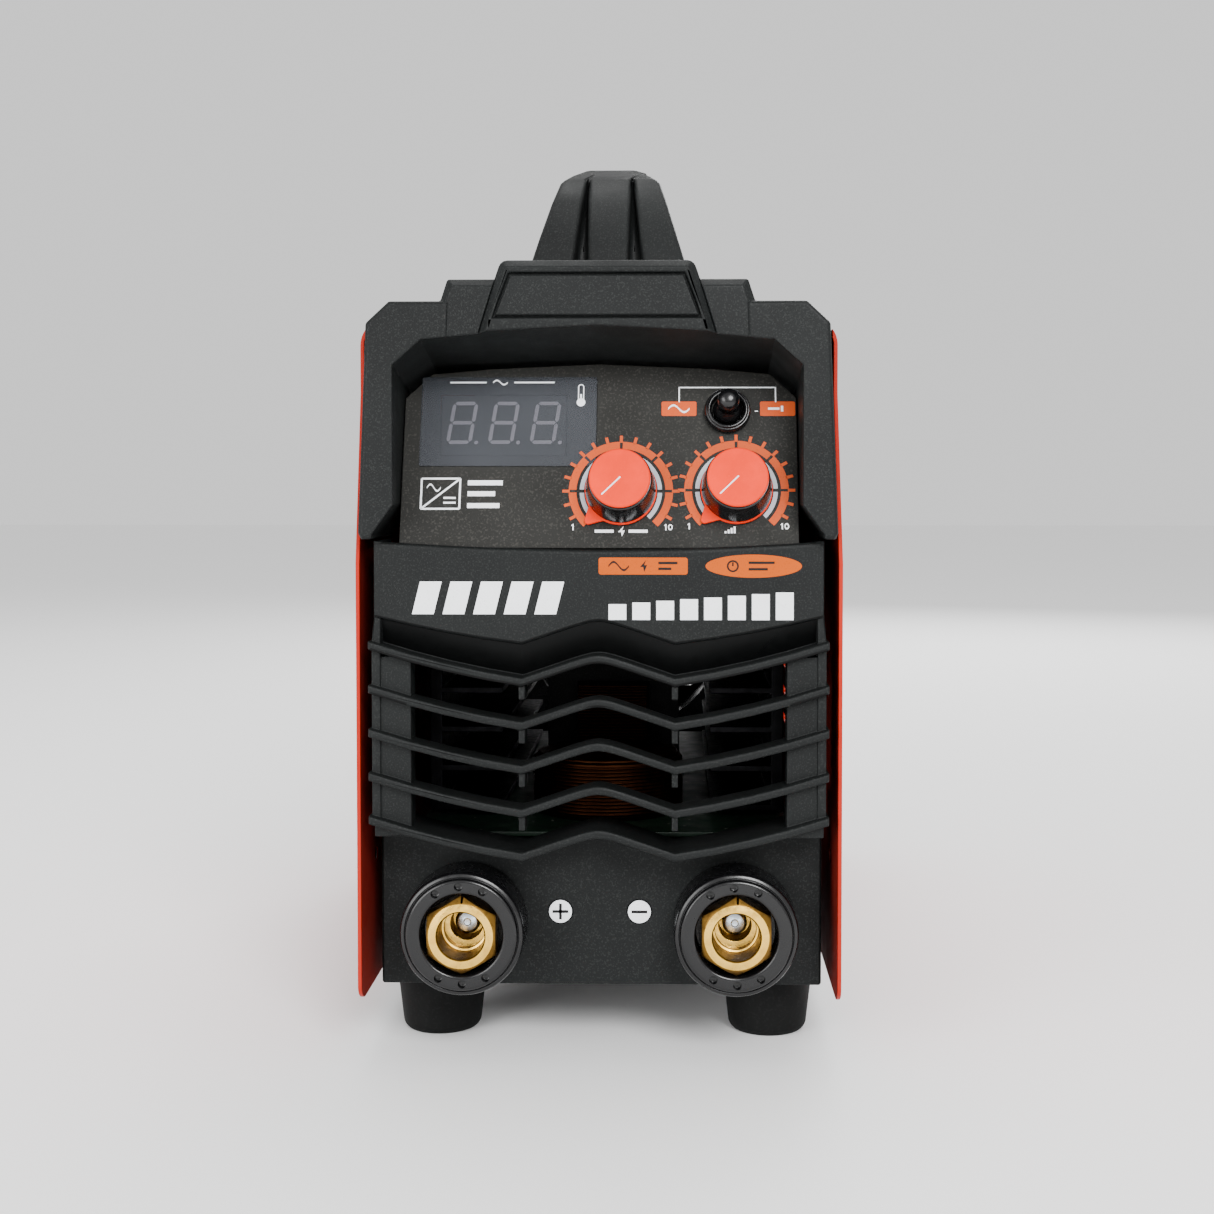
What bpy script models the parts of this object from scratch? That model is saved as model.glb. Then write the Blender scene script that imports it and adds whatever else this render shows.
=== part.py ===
"""Stick welding inverter, as separate named parts in one frame.

All sizes below are in millimetres and are scaled to metres when a mesh is made.
X is the machine's right as seen from its front, Y points from the front to the back,
Z is up, and the origin lies on the floor under the middle of the machine.
"""

import math

import bpy
from mathutils import Matrix, Vector

MM = 0.001
GAP = 0.3                 # clearance between pieces that touch

# Overall body
HALF_LENGTH = 162.0       # from the middle to the hood's face and to the gland's tip
COVER_HALF_WIDTH = 70.0   # at its top
COVER_LOW_HALF_WIDTH = 71.8
COVER_FLARE_Z = (150.0, 200.0)  # between these heights the sides lean out
SHEET = 1.2               # sheet metal of the cover and the chassis
COVER_TOP = 222.0
COVER_CORNER = 8.0
COVER_NOTCH_Y = 117.5     # the cover's top stops here, the mouldings rise beyond it
BODY_BOTTOM = 20.7
COVER_BOTTOM = 19.2       # the cover's sides reach a little lower than the body
SHOULDER_TOP = 226.3
STEP_TOP = 232.7
CROWN_TOP = 237.9
MOULDING_HALF_WIDTH = 67.7
WALL_HALF_WIDTH = 67.0    # side walls and lower plate of the front
CHASSIS_HALF_WIDTH = 64.9

# Front planes, from the nearest to the deepest
HOOD_FACE_Y = -HALF_LENGTH
HOOD_FRAME_Y = HOOD_FACE_Y + 2.5
SLAT_FACE_Y = -156.0
LOGO_FACE_Y = -154.0
LOWER_FACE_Y = -137.0

# Louvred grille
SLAT_COUNT = 5
SLAT_PITCH = 12.9
SLAT_HEIGHT = 2.6
SLAT_DEPTH = 10.0
TOP_SLAT_Z = 116.6        # upper edge of the top slat at its two low corners
CHEVRON_CORNER_X = 22.5   # where the zigzag turns up towards the middle
CHEVRON_OUTER_RISE = 10.8
CHEVRON_PEAK_RISE = 6.8
RIB_WIDTH = 1.9
RIB_REACH = 4.4
LOGO_HALF_WIDTH = 66.0
LOGO_TOP_Z = 154.2
LOGO_EDGE_Z = 126.4
LOGO_OUTER_RISE = 8.4
GRILLE_HALF_WIDTH = 55.4

# Inclined control panel, in its own frame: x right, y up the slope, z out of the face
PANEL_TILT = math.radians(18.0)
PANEL_FOOT = (0.0, -151.7, 155.0)
PANEL_THICKNESS = 2.5
WINDOW_X = (-53.8, -1.4)
WINDOW_Y = (25.3, 55.0)
DISPLAY_X = (-48.2, -10.4)
DISPLAY_Y = (29.1, 48.1)
KNOB_PLACES = {"arc_force": (6.4, 17.1), "amp": (40.7, 17.4)}
TOGGLE_PLACE = (38.2, 42.0)

# Knobs
KNOB_BASE_RADIUS = 10.5
KNOB_TOP_RADIUS = 9.4
KNOB_HEIGHT = 13.2
POINTER_ANGLE = math.radians(225.0)
POINTER_REACH = 14.4
SHAFT_RADIUS = 3.0

# Output sockets
SOCKET_X = 40.7
SOCKET_Z = 40.0
SOCKET_RADIUS = 18.5
SOCKET_REACH = 17.5
SOCKET_BODY_RADIUS = 13.0
HEX_ACROSS_FLATS = 20.4
BORE_RADIUS = 6.7

# Polarity marks between the sockets
MARK_RADIUS = 3.5
MARK_PLACES = {"positive_mark": (-12.4, 43.0), "negative_mark": (11.7, 43.0)}
MARK_POCKET = 0.6

# Side vents and screws of the cover
VENT_COUNT = 7
VENT_PITCH = 12.0
VENT_LOW_Z = 70.0
VENT_Y = (42.0, 108.0)
VENT_HALF_HEIGHT = 1.6
SCREW_Y = (-125.5, 128.0)
SCREW_Z = (58.0, 186.0)

# Feet
FOOT_X = 52.0
FOOT_Y = 111.0
FOOT_TOP_RADIUS = 14.5
FOOT_BOTTOM_RADIUS = 12.4

# Handle
HANDLE_TOP = 286.5
HANDLE_BASE_HALF_LENGTH = 88.0
GRIP_HALF_WIDTH = 16.5
HANDLE_HALF_WIDTH = 33.6  # at its foot, from where the sides lean in
GRIP_UNDERSIDE = 258.0

# Rear
REAR_FACE_Y = 150.0
REAR_WALL = 3.0
FAN_Z = 106.0
FAN_SIZE = 92.0
FAN_DEPTH = 25.0
FAN_THROAT_RADIUS = 43.6
FAN_HUB_RADIUS = 17.0
FAN_BLADES = 7
FAN_STRUTS = 3
GRILL_SLOT_PITCH = 8.4
GRILL_SLOT_WIDTH = 5.0
SWITCH_PLACE = (32.0, 190.0)
GLAND_PLACE = (-34.0, 190.0)
ROCKER_REST = math.radians(-10.0)

# Colour, roughness and metallic value of each material
FINISHES = {
    "black_plastic": ((0.030, 0.032, 0.034), 0.55, 0.0),
    "panel_black": ((0.045, 0.045, 0.043), 0.62, 0.0),
    "gloss_black": ((0.012, 0.012, 0.013), 0.28, 0.0),
    "rubber": ((0.018, 0.018, 0.018), 0.80, 0.0),
    "red_paint": ((0.780, 0.075, 0.035), 0.45, 0.0),
    "red_plastic": ((0.700, 0.050, 0.030), 0.35, 0.0),
    "chassis_paint": ((0.028, 0.030, 0.032), 0.60, 0.0),
    "orange_plastic": ((0.930, 0.130, 0.055), 0.42, 0.0),
    "brass": ((0.830, 0.610, 0.240), 0.28, 1.0),
    "zinc_steel": ((0.620, 0.640, 0.660), 0.30, 1.0),
    "aluminium": ((0.700, 0.710, 0.720), 0.40, 1.0),
    "anodised_black": ((0.020, 0.020, 0.022), 0.50, 0.5),
    "smoked_lens": ((0.110, 0.115, 0.125), 0.15, 0.0),
    "display_grey": ((0.130, 0.135, 0.150), 0.45, 0.0),
    "board_green": ((0.020, 0.140, 0.060), 0.50, 0.0),
    "ferrite": ((0.070, 0.070, 0.075), 0.70, 0.0),
    "copper": ((0.250, 0.090, 0.040), 0.35, 1.0),
    "capacitor_sleeve": ((0.030, 0.050, 0.120), 0.35, 0.0),
    "white_print": ((0.820, 0.840, 0.850), 0.50, 0.0),
}


def clear_scene():
    for obj in list(bpy.data.objects):
        bpy.data.objects.remove(obj)


def material(name):
    found = bpy.data.materials.get(name)
    if found:
        return found
    colour, roughness, metallic = FINISHES[name]
    made = bpy.data.materials.new(name)
    made.use_nodes = True
    shader = made.node_tree.nodes["Principled BSDF"]
    shader.inputs["Base Color"].default_value = (*colour, 1.0)
    shader.inputs["Roughness"].default_value = roughness
    shader.inputs["Metallic"].default_value = metallic
    return made


# ---------------------------------------------------------------- solids

def solid(name, points, faces, finish=None):
    """An object from points in millimetres and faces as index lists."""
    mesh = bpy.data.meshes.new(name)
    mesh.from_pydata([Vector(p) * MM for p in points], [], faces)
    mesh.validate()
    obj = bpy.data.objects.new(name, mesh)
    bpy.context.scene.collection.objects.link(obj)
    if finish:
        mesh.materials.append(material(finish))
    return obj


def loft(name, rings, finish=None):
    """A closed solid through rings of equal length, each a list of (x, y, z)."""
    count = len(rings[0])
    points = [p for ring in rings for p in ring]
    faces = [list(range(count))[::-1]]
    for layer in range(len(rings) - 1):
        low, high = layer * count, (layer + 1) * count
        for i in range(count):
            j = (i + 1) % count
            faces.append([low + i, low + j, high + j, high + i])
    last = (len(rings) - 1) * count
    faces.append([last + i for i in range(count)])
    return facing_out(solid(name, points, faces, finish))


def facing_out(obj):
    """Turns the faces round where the mesh would be inside out."""
    mesh = obj.data
    volume = 0.0
    mesh.calc_loop_triangles()
    for triangle in mesh.loop_triangles:
        a, b, c = (mesh.vertices[i].co for i in triangle.vertices)
        volume += a.dot(b.cross(c))
    if volume < 0:
        mesh.flip_normals()
    return obj


def prism(name, outline, front, back, finish=None, chamfer=0.0):
    """An (x, z) outline carried along Y, its front edge chamfered where asked."""
    rings = []
    if chamfer:
        rings.append([(x, front, z) for x, z in inset(outline, chamfer)])
        front += chamfer
    rings.append([(x, front, z) for x, z in outline])
    rings.append([(x, back, z) for x, z in outline])
    return loft(name, rings, finish)


def side_prism(name, outline, left, right, finish=None):
    """A (y, z) outline carried along X."""
    return loft(name, [[(x, y, z) for y, z in outline] for x in (left, right)], finish)


def block(name, low, high, finish=None):
    (x0, y0, z0), (x1, y1, z1) = low, high
    return prism(name, [(x0, z0), (x1, z0), (x1, z1), (x0, z1)], y0, y1, finish)


def turned(name, profile, sides, finish=None, phase=0.0):
    """A closed (radius, height) profile turned about the local Z axis."""
    points, rings = [], []
    for radius, height in profile:
        if radius == 0:
            rings.append([len(points)] * sides)
            points.append((0, 0, height))
            continue
        rings.append(list(range(len(points), len(points) + sides)))
        for i in range(sides):
            angle = phase + math.tau * i / sides
            points.append((radius * math.cos(angle), radius * math.sin(angle), height))
    faces = []
    for first, second in zip(rings, rings[1:] + rings[:1]):
        for i in range(sides):
            j = (i + 1) % sides
            corners = [first[i], first[j], second[j], second[i]]
            corners = [c for k, c in enumerate(corners) if c not in corners[:k]]
            if len(corners) > 2:
                faces.append(corners)
    return facing_out(solid(name, points, faces, finish))


def baked(obj):
    """Replaces the object's mesh by what its modifiers make of it."""
    bpy.context.view_layer.update()
    graph = bpy.context.evaluated_depsgraph_get()
    mesh = bpy.data.meshes.new_from_object(obj.evaluated_get(graph))
    obj.modifiers.clear()
    obj.data = mesh
    return obj


def combined(obj, others, operation):
    """The Boolean of obj with each of the others, which are used up."""
    for other in others:
        modifier = obj.modifiers.new("Boolean", "BOOLEAN")
        modifier.operation = operation
        modifier.object = other
        baked(obj)
        bpy.data.objects.remove(other)
    return obj


def union(obj, *others):
    return combined(obj, others, "UNION")


def cut(obj, *others):
    return combined(obj, others, "DIFFERENCE")


def placed(obj, frame):
    """Moves a part made at the origin into a frame, whose translation is in mm."""
    moved = frame.copy()
    moved.translation = frame.translation * MM
    obj.matrix_world = moved
    return obj


# ---------------------------------------------------------------- outlines

def mirrored(half):
    """A closed outline from its right half, listed from the bottom to the top."""
    left = [(-x, z) for x, z in reversed(half) if x > 0]
    return list(half) + left


def inset(outline, distance):
    """The counter-clockwise outline moved inwards by a distance, with mitred corners."""
    moved = []
    count = len(outline)
    for i in range(count):
        before, here, after = (Vector(outline[(i + k) % count]) for k in (-1, 0, 1))
        a = (here - before).normalized()
        b = (after - here).normalized()
        normal_a, normal_b = Vector((-a.y, a.x)), Vector((-b.y, b.x))
        middle = (normal_a + normal_b).normalized()
        moved.append(tuple(here + middle * (distance / max(0.3, middle.dot(normal_a)))))
    return moved


def rounded(outline, radius, steps=4):
    """The outline with every corner replaced by an arc."""
    made = []
    count = len(outline)
    for i in range(count):
        before, here, after = (Vector(outline[(i + k) % count]) for k in (-1, 0, 1))
        a, b = (before - here).normalized(), (after - here).normalized()
        half_angle = math.acos(max(-1.0, min(1.0, a.dot(b)))) / 2
        reach = min(radius / math.tan(half_angle), (before - here).length * 0.48,
                    (after - here).length * 0.48)
        centre = here + (a + b).normalized() * (reach / math.cos(half_angle))
        start, end = here + a * reach - centre, here + b * reach - centre
        sweep = start.angle_signed(end)
        for k in range(steps + 1):
            turn = Matrix.Rotation(-sweep * k / steps, 2)
            made.append(tuple(centre + turn @ start))
    return made


def rectangle(x_range, z_range):
    (x0, x1), (z0, z1) = x_range, z_range
    return [(x0, z0), (x1, z0), (x1, z1), (x0, z1)]


def circle(radius, sides, centre=(0.0, 0.0), phase=0.0):
    return [(centre[0] + radius * math.cos(phase + math.tau * i / sides),
             centre[1] + radius * math.sin(phase + math.tau * i / sides))
            for i in range(sides)]


def chevron(x, corner_z, outer_rise, peak_rise):
    """Height of the grille's zigzag at x: low at two corners, up to a rounded middle."""
    along = abs(x)
    if along >= CHEVRON_CORNER_X:
        share = (along - CHEVRON_CORNER_X) / (MOULDING_HALF_WIDTH - CHEVRON_CORNER_X)
        return corner_z + outer_rise * (0.63 * share + 0.37 * share * share)
    slope, softness = 0.3, 1.0
    reach = math.hypot(slope * CHEVRON_CORNER_X, softness) - softness
    return corner_z + peak_rise * (1 - (math.hypot(slope * along, softness) - softness) / reach)


def chevron_path(half_width, *shape):
    """Points (x, z) along the zigzag, closer together at its rounded middle."""
    outer = [CHEVRON_CORNER_X + (half_width - CHEVRON_CORNER_X) * i / 4 for i in range(5)]
    right = [0.0, 2.0, 4.5, 8.0] + outer
    xs = [-x for x in reversed(right[1:])] + right
    return [(x, chevron(x, *shape)) for x in xs]


def band(path, thickness):
    """The outline between a path and the same path moved down."""
    return [(x, z - thickness) for x, z in path] + path[::-1]


# ---------------------------------------------------------------- frames

def panel_frame(x, y, z=0.0):
    """Frame of a piece on the control panel's slope."""
    up = Vector((0, math.sin(PANEL_TILT), math.cos(PANEL_TILT)))
    out = Vector((0, -math.cos(PANEL_TILT), math.sin(PANEL_TILT)))
    frame = Matrix((Vector((1, 0, 0)), up, out)).transposed().to_4x4()
    frame.translation = Vector(PANEL_FOOT) + Vector((x, 0, 0)) + up * y + out * z
    return frame


def front_frame(x, y, z):
    """Local z points out of the front, local y up."""
    frame = Matrix(((1, 0, 0), (0, 0, -1), (0, 1, 0))).to_4x4()
    frame.translation = Vector((x, y, z))
    return frame


def rear_frame(x, y, z):
    """Local z points out of the back, local y up."""
    frame = Matrix(((-1, 0, 0), (0, 0, 1), (0, 1, 0))).to_4x4()
    frame.translation = Vector((x, y, z))
    return frame


def upright_frame(x, y, z):
    return Matrix.Translation((x, y, z))


def panel_plate(name, outline, low, high, finish=None):
    """A flat piece on the slope: (x, y) outline in the panel's frame, low to high out of it."""
    rings = [[(x, y, z) for x, y in outline] for z in (low, high)]
    return placed(loft(name, rings, finish), panel_frame(0, 0))


# ---------------------------------------------------------------- front mouldings

SHOULDER = mirrored([(69.0, 157.3), (69.8, 159.2), (67.3, 220.0), (60.5, SHOULDER_TOP)])
STEP = mirrored([(46.5, 205.0), (45.8, 226.0), (43.6, STEP_TOP)])
CROWN = rounded(mirrored([(36.6, 210.0), (27.9, CROWN_TOP)]), 2.6, 3)
BADGE = mirrored([(29.4, 221.9), (24.9, 233.5)])


def hood_opening():
    """The space under the hood, narrower at the back because its ceiling slopes down."""
    front = mirrored([(66.0, 156.0), (65.6, 158.8), (59.4, 167.3), (59.4, 208.9),
                      (51.1, 216.4), (34.0, 218.0), (0.0, 219.9)])
    back = mirrored([(66.0, 156.0), (65.6, 158.8), (59.4, 167.3), (59.4, 200.0),
                     (51.1, 206.0), (34.0, 206.4), (0.0, 207.5)])
    return loft("opening", [[(x, HOOD_FACE_Y - 3, z) for x, z in front],
                            [(x, -COVER_NOTCH_Y + 0.5, z) for x, z in back]])


def hood_hollow():
    """The hollow inside the hood's roof, open to the back."""
    front = mirrored([(38.0, 222.6), (52.0, 221.0), (58.0, 222.6), (42.2, 223.8),
                      (40.8, 230.0), (27.6, 230.5), (25.2, 234.6)])
    back = [(x, z if z > 223.5 else z - 10.0) for x, z in front]
    return loft("hollow", [[(x, HOOD_FRAME_Y + 5, z) for x, z in front],
                           [(x, -COVER_NOTCH_Y + 1, z) for x, z in back]])


def make_hood():
    back = -COVER_NOTCH_Y - GAP
    hood = prism("front_hood", SHOULDER, HOOD_FRAME_Y, back, "black_plastic", 0.8)
    step = prism("step", STEP, HOOD_FRAME_Y - 0.2, back - 0.1, None, 2.2)
    crown = prism("crown", CROWN, HOOD_FACE_Y, back - 0.2, None, 2.2)
    pocket = prism("pocket", inset(BADGE, -0.7), HOOD_FACE_Y - 1, HOOD_FACE_Y + 1.6)
    union(hood, step, crown)
    cut(hood, hood_opening(), hood_hollow(), pocket)
    prism("hood_badge_plate", BADGE, HOOD_FACE_Y + 0.1, HOOD_FACE_Y + 1.3, "panel_black", 0.4)


def slat(index, back):
    shape = (TOP_SLAT_Z - index * SLAT_PITCH, CHEVRON_OUTER_RISE, CHEVRON_PEAK_RISE)
    path = chevron_path(MOULDING_HALF_WIDTH, *shape)
    return prism("slat", band(path, SLAT_HEIGHT), SLAT_FACE_Y, back, None, 0.5)


def grille_rib(x, index):
    """A short rib under a corner of a slat."""
    top = chevron(x, TOP_SLAT_Z - index * SLAT_PITCH, CHEVRON_OUTER_RISE,
                  CHEVRON_PEAK_RISE) - SLAT_HEIGHT + 0.4
    return block("rib", (x - RIB_WIDTH / 2, SLAT_FACE_Y + 1.2, top - RIB_REACH),
                 (x + RIB_WIDTH / 2, SLAT_FACE_Y + SLAT_DEPTH - 1.0, top))


def logo_plate(name):
    """The face above the grille: a zigzag lower edge, and a rounded lip along its upper one."""
    lower = chevron_path(LOGO_HALF_WIDTH, LOGO_EDGE_Z, LOGO_OUTER_RISE, CHEVRON_PEAK_RISE)
    upper = [(x, LOGO_TOP_Z + 2.4 * (x / LOGO_HALF_WIDTH) ** 2) for x, _ in lower]
    rings = []
    for depth, lip, foot in ((0.0, 1.5, 0.4), (0.35, 0.5, 0.1), (1.1, 0.0, 0.0), (1.8, 0.0, 0.0)):
        outline = [(x, z + foot) for x, z in lower] + [(x, z - lip) for x, z in upper[::-1]]
        rings.append([(x, LOGO_FACE_Y + depth, z) for x, z in outline])
    return loft(name, rings, "black_plastic")


def scoop():
    """The dark band that slopes back from the logo face down to the top slat."""
    half_width = LOGO_HALF_WIDTH - 0.8
    upper = chevron_path(half_width, LOGO_EDGE_Z, LOGO_OUTER_RISE, CHEVRON_PEAK_RISE)
    lower = chevron_path(half_width, TOP_SLAT_Z, CHEVRON_OUTER_RISE, CHEVRON_PEAK_RISE)
    front, back, wall = LOGO_FACE_Y + 0.6, SLAT_FACE_Y + 8.0, 2.5
    rings = []
    for (x, high), (_, low) in zip(upper, lower):
        rings.append([(x, front, high + 1.2), (x, front + wall, high + 1.2),
                      (x, back + wall, low - 1.0), (x, back, low - 1.0)])
    return loft("scoop", rings)


def lower_plate():
    """The plate that carries the sockets, up to the lowest slat."""
    low = TOP_SLAT_Z - (SLAT_COUNT - 1) * SLAT_PITCH - SLAT_HEIGHT / 2
    upper = chevron_path(WALL_HALF_WIDTH - 0.3, low, CHEVRON_OUTER_RISE, CHEVRON_PEAK_RISE)
    outline = [(upper[0][0], BODY_BOTTOM), (upper[-1][0], BODY_BOTTOM)] + upper[::-1]
    return prism("plate", outline, LOWER_FACE_Y, LOWER_FACE_Y + 2.5)


def panel_side(side):
    """The wall, its lower flange and the block that closes the grille on one side."""
    inner = WALL_HALF_WIDTH - 2.6
    waist = [(66.1, 156.6), (63.9, 156.6), (inner, 122.0), (inner, 74.5), (WALL_HALF_WIDTH, 74.5),
             (WALL_HALF_WIDTH, 126.0), (66.1, 136.0)]
    wall = prism("wall", [(side * x, z) for x, z in waist], SLAT_FACE_Y + 2.6, LOWER_FACE_Y + 2.4)
    x0, x1 = sorted((side * (WALL_HALF_WIDTH - 0.15), side * (CHASSIS_HALF_WIDTH + GAP)))
    flange = block("flange", (x0, LOWER_FACE_Y + 0.5, BODY_BOTTOM + 0.4),
                   (x1, LOWER_FACE_Y + 14.0, 80.0))
    low = TOP_SLAT_Z - (SLAT_COUNT - 1) * SLAT_PITCH + 4.0
    x0, x1 = sorted((side * GRILLE_HALF_WIDTH, side * (WALL_HALF_WIDTH - 0.6)))
    end = block("end", (x0, SLAT_FACE_Y + 3.4, low), (x1, SLAT_FACE_Y + 12.0, TOP_SLAT_Z + 6.0))
    return [wall, end, flange]


def make_front_panel():
    panel = logo_plate("front_panel")
    parts = [scoop()]
    for index in range(SLAT_COUNT):
        last = index == SLAT_COUNT - 1
        parts.append(slat(index, LOWER_FACE_Y + 2.0 if last else SLAT_FACE_Y + SLAT_DEPTH))
        if not last:
            parts += [grille_rib(x, index) for x in (-CHEVRON_CORNER_X, CHEVRON_CORNER_X)]
    union(panel, *parts, *panel_side(-1), *panel_side(1), lower_plate())
    for side in (-1, 1):
        hole = circle(SOCKET_BODY_RADIUS + 0.4, 24, (side * SOCKET_X, SOCKET_Z))
        cut(panel, prism("hole", hole, LOWER_FACE_Y - 2, LOWER_FACE_Y + 5))
    for name, place in MARK_PLACES.items():
        pocket = circle(MARK_RADIUS + GAP, 24, place)
        cut(panel, prism("pocket", pocket, LOWER_FACE_Y - 2, LOWER_FACE_Y + MARK_POCKET))
        prism(name, circle(MARK_RADIUS, 24, place), LOWER_FACE_Y - 0.1,
              LOWER_FACE_Y + MARK_POCKET - GAP, "white_print")


# ---------------------------------------------------------------- controls

def make_control_panel():
    outline = mirrored([(59.0, -0.5), (59.0, 46.6), (51.0, 54.4), (34.0, 56.0), (0.0, 57.6)])
    plate = panel_plate("control_panel", outline, -PANEL_THICKNESS, 0.0, "panel_black")
    window = [(WINDOW_X[0] - GAP, WINDOW_X[1] + GAP), (WINDOW_Y[0] - GAP, WINDOW_Y[1] - 2.0 + GAP)]
    deep, proud = -PANEL_THICKNESS - 2, 2.0
    cutters = [panel_plate("cutter", rectangle(*window), deep, proud)]
    for place in KNOB_PLACES.values():
        cutters.append(panel_plate("cutter", circle(4.3, 20, place), deep, proud))
    cutters.append(panel_plate("cutter", circle(4.5, 20, TOGGLE_PLACE), deep, proud))
    cut(plate, *cutters)
    panel_plate("display_window", rectangle(WINDOW_X, (WINDOW_Y[0], WINDOW_Y[1] - 2.0)),
                -1.6, -0.05, "smoked_lens")
    panel_plate("display_module", rectangle(DISPLAY_X, DISPLAY_Y), -10.5, -2.0, "display_grey")
    panel_plate("control_board", rectangle((-56.0, 56.0), (3.0, 46.0)), -14.6, -13.0, "board_green")


def nib_outline():
    """A disc with a small pointed nib that shows the knob's setting."""
    half_width = math.radians(17.0)
    made = []
    for i in range(33):
        angle = POINTER_ANGLE + half_width + (math.tau - 2 * half_width) * i / 32
        made.append((10.9 * math.cos(angle), 10.9 * math.sin(angle)))
    for offset in (-0.055, 0.055):
        angle = POINTER_ANGLE + offset
        made.append((POINTER_REACH * math.cos(angle), POINTER_REACH * math.sin(angle)))
    return made


def make_knob(name, place):
    frame = panel_frame(*place)
    ring = loft(name + "_knob_pointer", [[(x, y, z) for x, y in nib_outline()] for z in (0.5, 1.7)],
                "orange_plastic")
    cut(ring, turned("bore", [(0, -1), (4.2, -1), (4.2, 3), (0, 3)], 16))
    placed(ring, frame)
    top = KNOB_HEIGHT - 1.6
    skirt = [(3.4, 2.0), (KNOB_BASE_RADIUS, 2.0), (KNOB_BASE_RADIUS - 0.1, 3.2),
             (KNOB_TOP_RADIUS, top - 0.4), (KNOB_TOP_RADIUS - 0.4, top), (0, top),
             (0, top - 1.2), (3.4, top - 1.2)]
    placed(turned(name + "_knob_skirt", skirt, 32, "gloss_black"), frame)
    cap = [(0, top + GAP), (KNOB_TOP_RADIUS - 0.4, top + GAP),
           (KNOB_TOP_RADIUS - 0.4, KNOB_HEIGHT - 0.4), (KNOB_TOP_RADIUS - 0.9, KNOB_HEIGHT),
           (0, KNOB_HEIGHT)]
    placed(turned(name + "_knob_cap", cap, 32, "orange_plastic"), frame)
    shaft = [(0, -8.0), (SHAFT_RADIUS, -8.0), (SHAFT_RADIUS, top - 1.6), (0, top - 1.6)]
    placed(turned(name + "_pot_shaft", shaft, 16, "aluminium"), frame)
    body = [(3.25, 0.3), (3.25, -8.4), (0, -8.4), (0, -12.7), (8.0, -12.7), (8.0, -3.0),
            (3.95, -3.0), (3.95, 0.3)]
    placed(turned(name + "_pot_body", body, 20, "zinc_steel"), frame)


def make_toggle():
    frame = panel_frame(*TOGGLE_PLACE)
    body = [(0, -11.0), (6.2, -11.0), (6.2, -3.0), (4.1, -3.0), (4.1, -2.4), (0, -2.4)]
    placed(turned("toggle_switch_body", body, 8, "gloss_black", math.pi / 8), frame)
    ring = [(4.9, 0.3), (6.9, 0.3), (6.9, 2.2), (6.1, 3.2), (5.5, 3.3), (4.9, 2.7)]
    placed(turned("toggle_nut", ring, 20, "gloss_black"), frame)
    lever = [(0, -2.0), (3.4, -1.2), (4.5, 1.5), (4.1, 3.2), (3.3, 4.6), (3.0, 7.0), (3.4, 10.6),
             (3.0, 12.2), (1.8, 13.2), (0, 13.6)]
    placed(turned("toggle_lever", lever, 20, "gloss_black"), frame)


def make_controls():
    make_control_panel()
    for name, place in KNOB_PLACES.items():
        make_knob(name, place)
    make_toggle()


# ---------------------------------------------------------------- sockets

def make_socket(name, x):
    frame = front_frame(x, LOWER_FACE_Y, SOCKET_Z)
    face = SOCKET_REACH
    shell = [(9.3, -25.0), (SOCKET_BODY_RADIUS, -25.0), (SOCKET_BODY_RADIUS, GAP),
             (SOCKET_RADIUS - 0.5, GAP), (SOCKET_RADIUS, 1.0), (SOCKET_RADIUS, face - 2.6),
             (SOCKET_RADIUS - 0.5, face - 1.6), (16.9, face - 1.3), (16.6, face - 0.4),
             (16.2, face), (12.4, face), (12.1, face - 0.5), (12.1, face - 8.5), (9.3, face - 8.5)]
    placed(turned(name + "_socket_insulator", shell, 32, "gloss_black"), frame)

    across_corners = HEX_ACROSS_FLATS / math.sqrt(3)
    front, neck = face + 1.0, face - 8.2
    contact = turned("contact", [(0, neck), (across_corners, neck), (across_corners, front),
                                 (0, front)], 6, "brass", math.pi / 6)
    cone = turned("cone", [(0, neck - 3), (20.0, neck - 3), (20.0, front - 5.9),
                           (HEX_ACROSS_FLATS / 2 - 0.2, front), (0, front + 0.01)], 32)
    contact = combined(contact, [cone], "INTERSECT")
    contact.name = name + "_socket_contact"
    union(contact, turned("barrel", [(0, -34.0), (9.0, -34.0), (9.0, neck + 1), (0, neck + 1)], 24))
    cut(contact, turned("bore", [(0, -4.0), (BORE_RADIUS, -4.0), (BORE_RADIUS, front + 1),
                                 (0, front + 1)], 24),
        turned("thread", [(0, -36.0), (4.2, -36.0), (4.2, -3.0), (0, -3.0)], 16))
    placed(contact, frame)
    bolt = [(0, -43.0), (6.5, -43.0), (6.5, -37.0), (3.8, -37.0), (3.8, 0.6), (2.6, 1.5), (0, 1.7)]
    placed(turned(name + "_socket_bolt", bolt, 16, "zinc_steel"), frame)


# ---------------------------------------------------------------- cover, chassis, feet

def cover_half_width(z):
    low, high = COVER_FLARE_Z
    share = max(0.0, min(1.0, (high - z) / (high - low)))
    return COVER_HALF_WIDTH + share * (COVER_LOW_HALF_WIDTH - COVER_HALF_WIDTH)


def cover_outline(inner):
    """The upside-down U of the cover, with round upper corners and flared sides."""
    offset = SHEET if inner else 0.0
    radius, half, top = COVER_CORNER - offset, COVER_HALF_WIDTH - offset, COVER_TOP - offset
    heights = (COVER_BOTTOM - (1.0 if inner else 0.0), *COVER_FLARE_Z)
    right = [(cover_half_width(z) - offset, z) for z in heights]
    for k in range(5):
        angle = math.pi / 2 * k / 4
        right.append((half - radius + radius * math.cos(angle),
                      top - radius + radius * math.sin(angle)))
    return mirrored(right)


def quarter_turn(steps=5):
    """Points of a unit quarter circle, from straight ahead to straight down."""
    angles = [math.pi / 2 * k / steps for k in range(steps + 1)]
    return [(-math.cos(a), -math.sin(a)) for a in angles] + [(0.0, -1.5)]


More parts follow.
